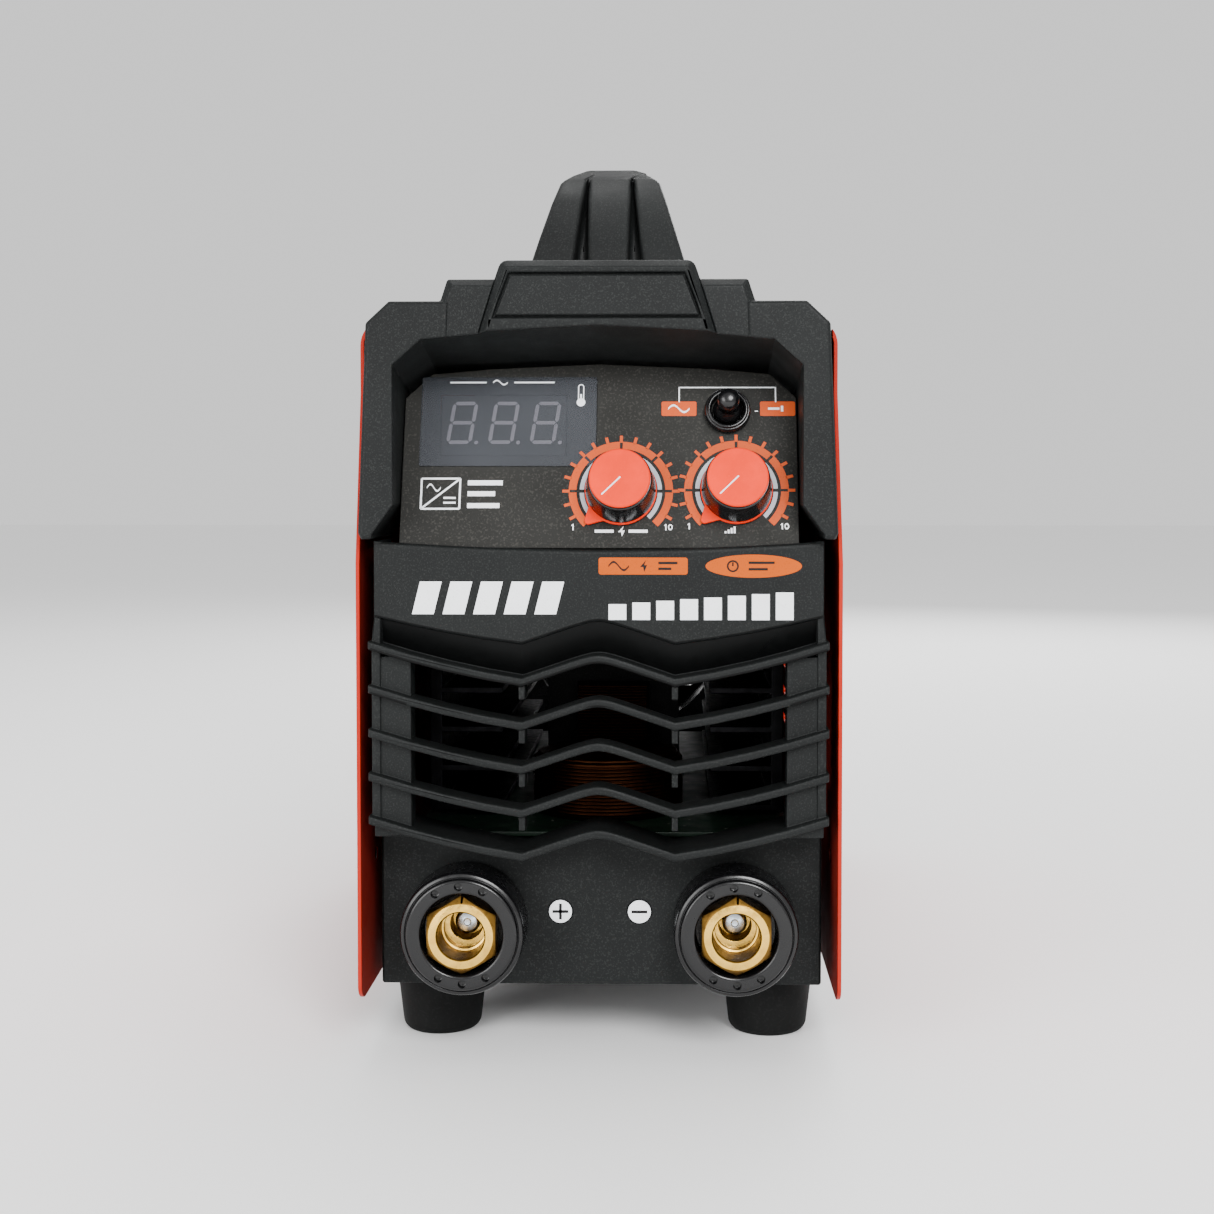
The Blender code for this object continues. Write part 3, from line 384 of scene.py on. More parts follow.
FINISH = {
    "black_plastic": textured_plastic("black_plastic", (0.0046, 0.0053, 0.0053), 0.52, 0.32, 0.07,
                                      (0.020, 0.022, 0.021)),
    "satin_black": gloss_plastic("satin_black", (0.0016, 0.0018, 0.0018), 0.42, (0.008, 0.008, 0.008),
                                 0.12),
    "panel_black": textured_plastic("panel_black", (0.0118, 0.0118, 0.0106), 0.60, 0.42, 0.08,
                                    (0.040, 0.038, 0.034)),
    "gloss_black": gloss_plastic("gloss_black", (0.0030, 0.0030, 0.0034), 0.24),
    "rubber": textured_plastic("rubber", (0.0022, 0.0024, 0.0023), 0.70, 0.6, 0.05,
                               (0.007, 0.007, 0.007)),
    "red_paint": powder_paint("red_paint", (0.37, 0.012, 0.003), 0.42, (0.28, 0.008, 0.002)),
    # a darker red for the cover's inward faces: painted shade
    "red_painted_shade": powder_paint("red_painted_shade", (0.14, 0.006, 0.002), 0.60, (0.09, 0.004, 0.001)),
    "red_plastic": gloss_plastic("red_plastic", (0.42, 0.012, 0.008), 0.30, (0.6, 0.10, 0.08)),
    "chassis_paint": powder_paint("chassis_paint", (0.0065, 0.0070, 0.0075), 0.52,
                                  (0.004, 0.0045, 0.005)),
    "orange_plastic": gloss_plastic("orange_plastic", (0.72, 0.028, 0.003), 0.50, (0.80, 0.08, 0.02),
                                    0.08),
    "brass": worked_metal("brass", (0.96, 0.60, 0.12), 0.30, (0.66, 0.36, 0.06)),
    # a dark brass for the contact's faces that do not look straight forward: painted shade
    "brass_painted_shade": worked_metal("brass_painted_shade", (0.22, 0.115, 0.022), 0.34, (0.08, 0.04, 0.010)),
    "zinc_steel": worked_metal("zinc_steel", (0.72, 0.80, 0.88), 0.28, (0.42, 0.48, 0.55)),
    "aluminium": worked_metal("aluminium", (0.50, 0.51, 0.52), 0.38, (0.30, 0.30, 0.31), 0.8),
    # near black for the heatsinks: painted shade for the inside of the case
    "anodised_black": worked_metal("anodised_black", (0.012, 0.012, 0.013), 0.45,
                                   (0.006, 0.006, 0.006), 0.8),
    "smoked_lens": smoked_lens(),
    "display_grey": gloss_plastic("display_grey", (0.052, 0.056, 0.064), 0.50, (0.07, 0.074, 0.084), 0.2),
    "mask_grey": gloss_plastic("mask_grey", (0.044, 0.047, 0.053), 0.50, (0.06, 0.064, 0.07), 0.2),
    "board_green": circuit_board(),
    "ferrite": textured_plastic("ferrite", (0.006, 0.006, 0.006), 0.65, 0.5, 0.06,
                                (0.02, 0.02, 0.02)),
    "copper": wound_wire(),
    "capacitor_sleeve": gloss_plastic("capacitor_sleeve", (0.004, 0.007, 0.018), 0.32,
                                      (0.03, 0.04, 0.06)),
    "white_print": plain_print("white_print", (0.90, 0.92, 0.94)),
    "grey_print": plain_print("grey_print", (0.42, 0.45, 0.49)),
    "dial_orange": plain_print("dial_orange", (0.54, 0.075, 0.014)),
    "label_orange": plain_print("label_orange", (0.46, 0.078, 0.003), 0.4),
    "dark_print": plain_print("dark_print", (0.012, 0.012, 0.012), 0.5),
    "digit_grey": plain_print("digit_grey", (0.88, 0.84, 0.96), 0.4),
    "floor": floor_paper(),
}


# ---------------------------------------------------------------- shapes

def piece(name, points, faces, finish):
    """A mesh object from points in millimetres."""
    mesh = bpy.data.meshes.new(name)
    mesh.from_pydata([Vector(p) * MM for p in points], [], faces)
    mesh.validate()
    mesh.materials.append(FINISH[finish])
    shaded(mesh)
    obj = bpy.data.objects.new(name, mesh)
    bpy.context.scene.collection.objects.link(obj)
    return obj


def shaded(mesh, angle=SMOOTH_BELOW):
    """Smooth shading, with sharp edges where faces meet at more than an angle in degrees."""
    mesh.shade_smooth()
    mesh.set_sharp_from_angle(angle=math.radians(angle))


def facing_out(obj):
    """Turns all faces outward."""
    work = bmesh.new()
    work.from_mesh(obj.data)
    bmesh.ops.recalc_face_normals(work, faces=work.faces)
    work.to_mesh(obj.data)
    work.free()
    shaded(obj.data)
    return obj


def placed(obj, matrix):
    """Puts a piece into a frame given in millimetres."""
    moved = matrix.copy()
    moved.translation = matrix.translation * MM
    obj.matrix_world = moved
    return obj


def panel_frame(x, y):
    """Frame on the control panel's slope: x right, y up the slope, z out of the face."""
    up = Vector((0, math.sin(PANEL_TILT), math.cos(PANEL_TILT)))
    out = Vector((0, -math.cos(PANEL_TILT), math.sin(PANEL_TILT)))
    matrix = Matrix((Vector((1, 0, 0)), up, out)).transposed().to_4x4()
    matrix.translation = Vector(PANEL_FOOT) + Vector((x, 0, 0)) + up * y
    return matrix


def front_frame(x, y, z):
    """Local z points out of the front, local y up."""
    matrix = Matrix(((1, 0, 0), (0, 0, -1), (0, 1, 0))).to_4x4()
    matrix.translation = Vector((x, y, z))
    return matrix


def rear_frame(x, y, z):
    """Local z points out of the back, local y up."""
    matrix = Matrix(((-1, 0, 0), (0, 0, 1), (0, 1, 0))).to_4x4()
    matrix.translation = Vector((x, y, z))
    return matrix


def arc(centre, radius, start, end, steps):
    """Points along an arc, its angles in degrees."""
    angles = [math.radians(start + (end - start) * i / steps) for i in range(steps + 1)]
    return [(centre[0] + radius * math.cos(a), centre[1] + radius * math.sin(a)) for a in angles]


def softened(profile, radius, steps=4):
    """An open profile whose inner corners are rounded by up to a radius."""
    made = [profile[0]]
    for before, here, after in zip(profile, profile[1:], profile[2:]):
        before, here, after = Vector(before), Vector(here), Vector(after)
        a, b = before - here, after - here
        reach = min(radius, a.length * 0.45, b.length * 0.45)
        start, end = here + a.normalized() * reach, here + b.normalized() * reach
        for k in range(steps + 1):
            t = k / steps
            made.append(tuple(start * (1 - t) ** 2 + here * 2 * t * (1 - t) + end * t ** 2))
    made.append(profile[-1])
    return made


def turned(name, profile, finish, sides=96):
    """A (radius, height) profile turned about the local Z axis."""
    points, rings, faces = [], [], []
    for radius, height in profile:
        if radius < 1e-6:
            rings.append([len(points)] * sides)
            points.append((0, 0, height))
        else:
            rings.append(list(range(len(points), len(points) + sides)))
            points += [(x, y, height) for x, y in arc((0, 0), radius, 0, 360, sides)[:-1]]
    for first, second in zip(rings, rings[1:]):
        for i in range(sides):
            j = (i + 1) % sides
            corners = []
            for c in (first[i], first[j], second[j], second[i]):
                if c not in corners:
                    corners.append(c)
            if len(corners) > 2:
                faces.append(corners)
    return facing_out(piece(name, points, faces, finish))


def loft(name, rings, finish):
    """A closed solid through rings of equal length."""
    count = len(rings[0])
    points = [p for ring in rings for p in ring]
    faces = [list(range(count))[::-1]]
    for layer in range(len(rings) - 1):
        low, high = layer * count, (layer + 1) * count
        for i in range(count):
            j = (i + 1) % count
            faces.append([low + i, low + j, high + j, high + i])
    faces.append([(len(rings) - 1) * count + i for i in range(count)])
    return facing_out(piece(name, points, faces, finish))


def flat_shapes(name, outlines, low, high, finish, matrix):
    """Thin flat shapes, such as print or labels, from outlines in a frame's x and y."""
    points, faces = [], []
    for outline in outlines:
        start, count = len(points), len(outline)
        points += [(x, y, low) for x, y in outline] + [(x, y, high) for x, y in outline]
        faces.append([start + i for i in range(count)][::-1])
        faces.append([start + count + i for i in range(count)])
        for i in range(count):
            j = (i + 1) % count
            faces.append([start + i, start + j, start + count + j, start + count + i])
    return placed(facing_out(piece(name, points, faces, finish)), matrix)


def baked(obj):
    """Applies the object's modifiers."""
    bpy.context.view_layer.update()
    graph = bpy.context.evaluated_depsgraph_get()
    mesh = bpy.data.meshes.new_from_object(obj.evaluated_get(graph))
    obj.modifiers.clear()
    obj.data = mesh
    return obj


def combined(obj, others, operation):
    """Adds, cuts or keeps what the other shapes cover, and removes them."""
    for other in others:
        modifier = obj.modifiers.new("Boolean", "BOOLEAN")
        modifier.operation = operation
        modifier.object = other
        baked(obj)
        bpy.data.objects.remove(other)
    return obj


def rounded_edges(obj, width_mm, segments=3):
    """Rounds the sharp edges and keeps the flats flat in the shading."""
    bevel = obj.modifiers.new("Bevel", "BEVEL")
    bevel.width = width_mm * MM
    bevel.segments = segments
    bevel.limit_method = "ANGLE"
    bevel.angle_limit = math.radians(BEVEL_ABOVE)
    bevel.use_clamp_overlap = False
    shaded(obj.data, 40.0)
    weighted = obj.modifiers.new("Weighted", "WEIGHTED_NORMAL")
    weighted.weight = 100
    return obj


def straightened(obj):
    """Takes a corner's normal from its own face where the rounding has turned it away."""
    normals = [corner.vector.copy() for corner in obj.data.corner_normals]
    for face in obj.data.polygons:
        for i in face.loop_indices:
            if normals[i].dot(face.normal) < LEAST_AGREEMENT:
                normals[i] = face.normal.copy()
    obj.data.normals_split_custom_set(normals)


def on_body(obj, body, slot, *nodes):
    """The piece rides on a body and stands for CAD nodes; its slot is not used."""
    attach(obj, body)
    if nodes:
        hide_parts(*nodes)
    return obj


def refined(node, finish, width_mm, segments=3, body="housing"):
    """A finer copy of a CAD node: its facets joined into flats, its edges rounded."""
    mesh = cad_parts[node].data.copy()
    work = bmesh.new()
    work.from_mesh(mesh)
    bmesh.ops.remove_doubles(work, verts=work.verts, dist=0.00001)
    bmesh.ops.join_triangles(work, faces=work.faces, angle_face_threshold=math.radians(0.3),
                             angle_shape_threshold=math.pi)
    work.to_mesh(mesh)
    work.free()
    if "custom_normal" in mesh.attributes:
        mesh.attributes.remove(mesh.attributes["custom_normal"])
    mesh.materials.clear()
    mesh.materials.append(FINISH[finish])
    obj = bpy.data.objects.new(node + "_shape", mesh)
    bpy.context.scene.collection.objects.link(obj)
    straightened(baked(rounded_edges(obj, width_mm, segments)))
    return on_body(obj, body, finish, node)


def second_finish(obj, finish, chosen):
    """Gives another finish to the faces that chosen picks."""
    obj.data.materials.append(FINISH[finish])
    for face in obj.data.polygons:
        if chosen(face):
            face.material_index = 1


# ---------------------------------------------------------------- mouldings

def make_mouldings():
    """The larger mouldings, the base and the fan, each copied from the CAD."""
    refined("front_hood", "black_plastic", 0.55)
    refined("hood_badge_plate", "black_plastic", 0.2)
    panel = refined("front_panel", "black_plastic", 0.35, 2)
    second_finish(panel, "satin_black", on_scoop)
    refined("control_panel", "panel_black", 0.3, 2)
    refined("rear_panel", "black_plastic", 0.5)
    refined("base_chassis", "chassis_paint", 0.25, 2)
    refined("fan_frame", "gloss_black", 0.4, 2)
    refined("fan_impeller", "black_plastic", 0.3, 2, "cooling_fan")


def on_scoop(face):
    """The smooth band that slopes back under the logo face."""
    faces_down = face.normal.y < -0.5 and face.normal.z < -0.2
    low, high = SCOOP_Z
    return faces_down and low * MM < face.center.z < high * MM and face.center.y < SCOOP_BACK_Y * MM


def make_handle():
    """The handle, its edges rounded well like a thick moulding."""
    refined("handle", "black_plastic", 1.6, 4)


def make_knob(name, place):
    """A dark skirt, an orange cap with a white line, and a pointer disc below."""
    body = name + "_knob"
    matrix = panel_frame(*place)
    top = KNOB_HEIGHT - 1.6
    skirt = softened([(3.4, 2.0), (10.5, 2.0), (10.4, 3.2), (9.4, top - 0.3), (9.1, top), (0, top)],
                     0.5)
    on_body(placed(turned(name + "_skirt", skirt, "gloss_black"), matrix), body, "gloss_black",
            name + "_knob_skirt")
    cap = softened([(0, top + 0.3), (8.9, top + 0.3), (9.0, KNOB_HEIGHT - 0.5), (8.6, KNOB_HEIGHT),
                    (0, KNOB_HEIGHT)], 0.35)
    on_body(placed(turned(name + "_cap", cap, "orange_plastic"), matrix), body, "orange_plastic",
            name + "_knob_cap")
    line = [(-0.3, 0.2), (7.2, 0.2), (7.45, 0.0), (7.2, -0.2), (-0.3, -0.2)]
    turn = Matrix.Rotation(POINTER_ANGLE, 2)
    mark = [tuple(turn @ Vector(p)) for p in line]
    on_body(flat_shapes(name + "_mark", [mark], KNOB_HEIGHT, KNOB_HEIGHT + 0.08, "white_print", matrix),
            body, "white_print")
    disc = arc((0, 0), 10.7, 242, 568, 72)
    tip = [tuple(turn @ Vector(p)) for p in ((14.3, -0.8), (14.6, 0.0), (14.3, 0.8))]
    rings = [[(x, y, z) for x, y in disc + tip] for z in (0.5, 1.7)]
    pointer = rounded_edges(loft(name + "_pointer", rings, "orange_plastic"), 0.25, 2)
    on_body(placed(pointer, matrix), body, "orange_plastic", name + "_knob_pointer")


def make_toggle():
    """The toggle's nut and its bat-shaped lever."""
    matrix = panel_frame(*TOGGLE_PLACE)
    nut = softened([(4.9, 0.3), (6.9, 0.3), (6.9, 2.0), (6.5, 2.7), (6.1, 2.7), (6.0, 3.3),
                    (5.4, 3.4), (4.9, 2.9), (4.9, 0.3)], 0.25)
    on_body(placed(turned("toggle_ring", nut, "gloss_black"), matrix), "housing", "gloss_black",
            "toggle_nut")
    lever = softened([(0, -2.0), (3.2, -1.2), (4.4, 1.0), (4.3, 2.6), (3.5, 4.3), (2.9, 6.2),
                      (3.1, 8.6), (3.35, 10.6), (3.0, 12.2), (1.8, 13.2), (0, 13.5)], 1.2)
    on_body(placed(turned("toggle_bat", lever, "gloss_black"), matrix), "mode_toggle", "gloss_black",
            "toggle_lever")


# ---------------------------------------------------------------- sockets

def make_socket(name):
    """An output socket: insulator with dimples, brass contact and steel bolt."""
    centre = node_centre(name + "_socket_bolt")
    matrix = front_frame(centre.x, PLATE_Y, centre.z)
    face = INSULATOR_FACE
    shell = softened([(9.3, -25.0), (13.0, -25.0), (13.0, 0.3), (18.2, 0.3), (18.5, 1.0),
                      (18.5, face - 2.6), (18.1, face - 1.5), (17.1, face - 1.1), (16.9, face - 1.5),
                      (16.7, face - 1.4), (16.5, face - 0.3), (15.9, face), (13.0, face),
                      (12.4, face - 0.25), (12.1, face - 0.9), (12.1, face - 8.5), (9.3, face - 8.5),
                      (9.3, -25.0)], 0.35)
    insulator = turned(name + "_insulator", shell, "gloss_black", 128)
    for angle in DIMPLE_ANGLES:
        across = DIMPLE_RING * math.cos(math.radians(angle))
        up = DIMPLE_RING * math.sin(math.radians(angle))
        drill = turned("drill", [(0, face - 2.4), (1.1, face - 2.0), (1.35, face + 1), (0, face + 1)],
                       "gloss_black", 20)
        drill.data.transform(Matrix.Translation((across * MM, up * MM, 0)))
        combined(insulator, [drill], "DIFFERENCE")
    shaded(insulator.data)
    on_body(placed(insulator, matrix), "housing", "gloss_black", name + "_socket_insulator")
    on_body(placed(brass_contact(name + "_contact"), matrix), "housing", "brass",
            name + "_socket_contact")
    bolt = softened([(0, -43.0), (6.5, -43.0), (6.5, -37.0), (3.8, -37.0), (3.8, 0.4), (3.0, 1.4),
                     (1.2, 1.65), (1.0, 1.45), (0, 1.4)], 0.3)
    on_body(placed(turned(name + "_bolt", bolt, "zinc_steel"), matrix), "housing", "zinc_steel",
            name + "_socket_bolt")


def brass_contact(name):
    """A hexagon whose face is chamfered to a ring, over a barrel with a stepped bore."""
    front, neck = CONTACT_FACE, CONTACT_NECK
    hexagon = arc((0, 0), CONTACT_FLATS / math.sqrt(3), 30, 390, 6)[:-1]
    rings = [[(px, py, z) for px, py in hexagon] for z in (neck, front)]
    contact = loft(name, rings, "brass")
    cone = turned("cone", [(0, neck - 3), (20.0, neck - 3), (20.0, front - 10.4), (9.8, front - 0.1),
                           (9.6, front), (0, front + 0.01)], "brass")
    combined(contact, [cone], "INTERSECT")
    barrel = turned("barrel", [(0, -34.0), (9.0, -34.0), (9.0, neck + 1), (0, neck + 1)], "brass")
    combined(contact, [barrel], "UNION")
    bore = turned("bore", softened([(0, -4.0), (5.0, -4.0), (5.0, 3.2), (6.9, 3.4), (6.9, 6.2),
                                    (6.2, 6.4), (6.2, 8.4), (7.0, 8.6), (7.0, front - 0.5),
                                    (7.5, front + 0.1), (7.5, front + 1), (0, front + 1)], 0.15),
                  "brass")
    combined(contact, [bore], "DIFFERENCE")
    shaded(contact.data, 35.0)
    # every face that does not look straight forward gets the dark brass: painted shade on the hex sides,
    # the chamfer and in the bore
    second_finish(contact, "brass_painted_shade", lambda face: face.normal.z < 0.95)
    return contact


def make_polarity_marks():
    """White discs with a dark plus and minus between the sockets."""
    for name in ("positive", "negative"):
        centre = node_centre(name + "_mark")
        matrix = front_frame(centre.x, PLATE_Y, centre.z)
        disc = turned(name + "_disc", softened([(0, -0.3), (3.5, -0.3), (3.5, 0.1), (0, 0.1)], 0.1),
                      "white_print", 64)
        on_body(placed(disc, matrix), "housing", "white_print", name + "_mark")
        bars = [bar((-2.4, 0.0), (2.4, 0.0), 0.85)]
        if name == "positive":
            bars.append(bar((0.0, -2.4), (0.0, 2.4), 0.85))
        sign = flat_shapes(name + "_sign", bars, 0.10, 0.16, "dark_print", matrix)
        on_body(sign, "housing", "black_plastic")


# ---------------------------------------------------------------- printed graphics

def sector(centre, inner, outer, start, end):
    """A piece of a ring between two angles in degrees."""
    steps = max(2, int(abs(end - start) / 3))
    return arc(centre, outer, start, end, steps) + arc(centre, inner, end, start, steps)


def bar(start, end, width):
    """A straight stroke with square ends."""
    start, end = Vector(start), Vector(end)
    along = (end - start).normalized()
    side = Vector((-along.y, along.x)) * width / 2
    return [tuple(start - side), tuple(end - side), tuple(end + side), tuple(start + side)]


def rounded_box(low, high, radius):
    """A rectangle with round corners."""
    (x0, y0), (x1, y1) = low, high
    return (arc((x1 - radius, y0 + radius), radius, -90, 0, 5)
            + arc((x1 - radius, y1 - radius), radius, 0, 90, 5)
            + arc((x0 + radius, y1 - radius), radius, 90, 180, 5)
            + arc((x0 + radius, y0 + radius), radius, 180, 270, 5))


def numeral_one(x, y, height):
    """A numeral with a short flag and no foot."""
    return [[(x, y), (x + 0.36, y), (x + 0.36, y + height), (x + 0.08, y + height),
             (x - 0.35, y + height * 0.78), (x - 0.25, y + height * 0.68), (x, y + height * 0.8)]]


def numeral_zero(x, y, height):
    """Two half rings, a little taller than wide."""
    halves = []
    for start in (90, 270):
        outer = arc((0, 0), 1.0, start, start + 180, 12)
        inner = arc((0, 0), 0.56, start + 180, start, 12)
        halves.append([(x + px * height * 0.36, y + height / 2 + py * height / 2)
                       for px, py in outer + inner])
    return halves


def dial_print(centre):
    """Outlines of a dial: the orange scale, its ticks, and the pale inner band."""
    scale, pale, figures = [], [], []
    stops = [225, 180, 135, 90, 45, 0, -45]
    for i, (start, end) in enumerate(zip(stops, stops[1:])):
        low_gap = 0.0 if i == 0 else 1.7
        high_gap = 0.0 if i == len(stops) - 2 else 1.7
        scale.append(sector(centre, DIAL_RADIUS, DIAL_RADIUS + 2.3, start - low_gap, end + high_gap))
    for angle in range(210, -31, -15):
        direction = Vector((math.cos(math.radians(angle)), math.sin(math.radians(angle))))
        inner, outer = DIAL_RADIUS + 2.0, DIAL_RADIUS + 4.2
        scale.append(bar(Vector(centre) + direction * inner, Vector(centre) + direction * outer, 0.9))
    for start, end in ((225, 182.5), (177.5, 92), (88, 2.5), (-2.5, -45)):
        pale.append(sector(centre, 10.95, 12.25, start, end))
    low = centre[1] - 12.1
    figures += numeral_one(centre[0] - 14.2, low, 1.9)
    figures += numeral_one(centre[0] + 13.2, low, 1.9) + numeral_zero(centre[0] + 14.7, low, 1.9)
    return scale, pale, figures


def thermometer(x, y):
    """A small thermometer, 6 mm tall."""
    stem = sector((x, y + 4.9), 0.62, 0.92, 0, 180)
    sides = [bar((x + side, y + 4.9), (x + side, y + 0.9), 0.3) for side in (-0.77, 0.77)]
    return [stem, *sides, arc((x, y), 1.3, 0, 360, 24)[:-1], bar((x, y + 1.0), (x, y + 2.6), 0.55)]


def wave_sign(x, y, width, height, stroke):
    """One period of a sine wave."""
    steps = 20
    line = [(x + width * i / steps, y + height * math.sin(math.tau * i / steps)) for i in range(steps + 1)]
    upper = [(px, py + stroke / 2) for px, py in line]
    lower = [(px, py - stroke / 2) for px, py in line]
    return [lower + upper[::-1]]


def bolt_sign(x, y, size):
    """A small lightning bolt."""
    shape = [(0.15, -1.0), (0.65, 0.15), (0.15, 0.15), (0.45, 1.0), (-0.55, -0.15), (-0.02, -0.15)]
    return [[(x + px * size, y + py * size) for px, py in shape]]


def ramp_sign(x, y, size):
    """Four bars that rise to the right."""
    return [[(x + i * size * 0.55, y), (x + i * size * 0.55 + size * 0.36, y),
             (x + i * size * 0.55 + size * 0.36, y + size * (0.4 + 0.3 * i)),
             (x + i * size * 0.55, y + size * (0.4 + 0.3 * i))] for i in range(4)]


def converter_sign(x, y, width, height):
    """The generic sign of a converter: a box with a diagonal, a wave and a flat line."""
    stroke = 0.55
    box = [bar((x, y), (x + width, y), stroke), bar((x, y + height), (x + width, y + height), stroke),
           bar((x, y), (x, y + height), stroke), bar((x + width, y), (x + width, y + height), stroke)]
    inside = [bar((x, y), (x + width, y + height), stroke)]
    inside += wave_sign(x + width * 0.14, y + height * 0.70, width * 0.36, height * 0.11, stroke)
    inside += [bar((x + width * 0.58, y + height * 0.36), (x + width * 0.90, y + height * 0.36), stroke),
               bar((x + width * 0.58, y + height * 0.20), (x + width * 0.90, y + height * 0.20), stroke)]
    return box + inside


def knob_signs():
    """A bolt between two lines under one dial, a rising scale under the other."""
    (ax, ay), (bx, by) = KNOB_PLACES["arc_force"], KNOB_PLACES["amp"]
    lines = [bar((ax - 7.6, ay - 12.4), (ax - 2.0, ay - 12.4), 0.9),
             bar((ax + 2.4, ay - 12.4), (ax + 8.0, ay - 12.4), 0.9)]
    return bolt_sign(ax + 0.2, ay - 12.4, 1.6) + lines + ramp_sign(bx - 3.6, by - 13.3, 1.6)


def title_marks():
    """A converter sign and three bars, in the place of a title."""
    bars = [bar((-39.2, y), (end, y), 1.5) for y, end in ((19.7, -28.8), (16.3, -31.0), (12.6, -29.6))]
    return converter_sign(-53.0, 11.6, 11.5, 9.4) + bars


def toggle_print():
    """Round the toggle: a bracket, two orange tags, and a wave and an electrode on the tags."""
    x, y = TOGGLE_PLACE
    bracket = [bar((x - 14.7, y + 7.9), (x + 14.7, y + 7.9), 0.35),
               bar((x - 14.5, y + 8.0), (x - 14.5, y + 3.2), 0.35),
               bar((x + 14.5, y + 8.0), (x + 14.5, y + 3.2), 0.35),
               bar((x + 8.2, y + 0.3), (x + 9.2, y + 0.3), 0.3)]
    tags = [rounded_box((x - 19.8, y - 1.2), (x - 9.3, y + 3.4), 0.5),
            rounded_box((x + 9.8, y - 1.2), (x + 20.3, y + 3.4), 0.5)]
    signs = wave_sign(x - 17.8, y + 1.1, 6.4, 1.1, 0.6)
    signs += [bar((x + 12.2, y + 1.1), (x + 15.6, y + 1.1), 0.7),
              bar((x + 16.4, y + 0.2), (x + 16.4, y + 2.0), 0.7)]
    return bracket, tags, signs


def make_panel_print():
    """Everything printed on the control panel, in four layers."""
    scale, pale, figures = [], [], []
    for place in KNOB_PLACES.values():
        for outlines, added in zip((scale, pale, figures), dial_print(place)):
            outlines.extend(added)
    bracket, tags, signs = toggle_print()
    figures += knob_signs() + title_marks() + bracket
    layers = (("dial_scale", scale + tags, 0.02, 0.08, "dial_orange", "orange_plastic"),
              ("dial_inner", pale, 0.02, 0.08, "grey_print", "white_print"),
              ("panel_figures", figures, 0.02, 0.09, "white_print", "white_print"),
              ("tag_signs", signs, 0.09, 0.12, "white_print", "white_print"))
    matrix = panel_frame(0, 0)
    for name, outlines, low, high, finish, slot in layers:
        on_body(flat_shapes(name, outlines, low, high, finish, matrix), "housing", slot)


def segment(start, end, width):
    """One bar of a digit, with pointed ends."""
    start, end = Vector(start), Vector(end)
    along = (end - start).normalized()
    side = Vector((-along.y, along.x)) * width / 2
    tip = along * width / 2
    corners = (start, start + tip - side, end - tip - side, end, end - tip + side, start + tip + side)
    return [tuple(c) for c in corners]


def digit(x, y):
    """Seven unlit bars and a point, leaning to the right."""
    half_width, half_height, stroke = 3.3, DIGIT_HEIGHT / 2 - 0.6, 1.1
    strokes = [((-1, row), (1, row)) for row in (-1, 0, 1)]
    strokes += [((side, row), (side, row + 1)) for side in (-1, 1) for row in (-1, 0)]
    made = []
    for start, end in strokes:
        low = Vector((start[0] * half_width, start[1] * half_height))
        high = Vector((end[0] * half_width, end[1] * half_height))
        gap = (high - low).normalized() * 0.18
        made.append(segment(low + gap, high - gap, stroke))
    made.append(arc((half_width + 2.0, -half_height - 0.1), 0.6, 0, 360, 12)[:-1])
    lean = math.tan(DIGIT_LEAN)
    return [[(x + px + py * lean, y + py) for px, py in outline] for outline in made]


def display_mask():
    """Four strips that fill the window's outline round the module."""
    (x0, y0), (x3, y3) = WINDOW_LOW, WINDOW_HIGH
    (x1, y1), (x2, y2) = MASK_HOLE_LOW, MASK_HOLE_HIGH
    strips = (((x0, y0), (x3, y1)), ((x0, y2), (x3, y3)), ((x0, y1), (x1, y2)), ((x2, y1), (x3, y2)))
    return [[(left, low), (right, low), (right, high), (left, high)]
            for (left, low), (right, high) in strips]


def make_display():
    """The module's face with its unlit digits, a dark mask round it, and the window."""
    matrix = panel_frame(0, 0)
    refined("display_module", "display_grey", 0.3, 2)
    x, y = DIGITS_CENTRE
    bars = [outline for i in (-1, 0, 1) for outline in digit(x + DIGIT_PITCH * i, y)]
    on_body(flat_shapes("display_digits", bars, -1.98, -1.93, "digit_grey", matrix), "housing",
            "display_grey")
    on_body(flat_shapes("display_mask", display_mask(), -1.86, -1.80, "mask_grey", matrix), "housing",
            "panel_black")
    low = [value - WINDOW_RIM for value in WINDOW_LOW]
    high = [value + WINDOW_RIM for value in WINDOW_HIGH]
    window = flat_shapes("display_window_shape", [rounded_box(low, high, 0.6)], -1.5, 0.02,
                         "smoked_lens", matrix)
    on_body(window, "housing", "smoked_lens", "display_window")
    heading = wave_sign(-32.6, 51.6, 4.4, 0.7, 0.45)
    heading += [bar((-45.6, 51.6), (-34.6, 51.6), 0.45), bar((-26.2, 51.6), (-14.0, 51.6), 0.45)]
    prints = heading + thermometer(-5.9, 45.2)
    on_body(flat_shapes("window_figures", prints, 0.03, 0.08, "white_print", matrix), "housing",
            "white_print")


def front_marks():
    """Five leaning bars and eight rising ones."""
    lean, low, high, foot = 2.4, 135.2, 144.8, 133.6
    marks = []
    for i in range(5):
        x = -54.8 + i * 9.0
        marks.append([(x, low), (x + 6.4, low), (x + 6.4 + lean, high), (x + lean, high)])
    for i in range(8):
        x, top = 3.0 + i * 7.0, 138.2 + i * 0.5
        marks.append([(x, foot), (x + 5.2, foot), (x + 5.2, top), (x, top)])
    return marks


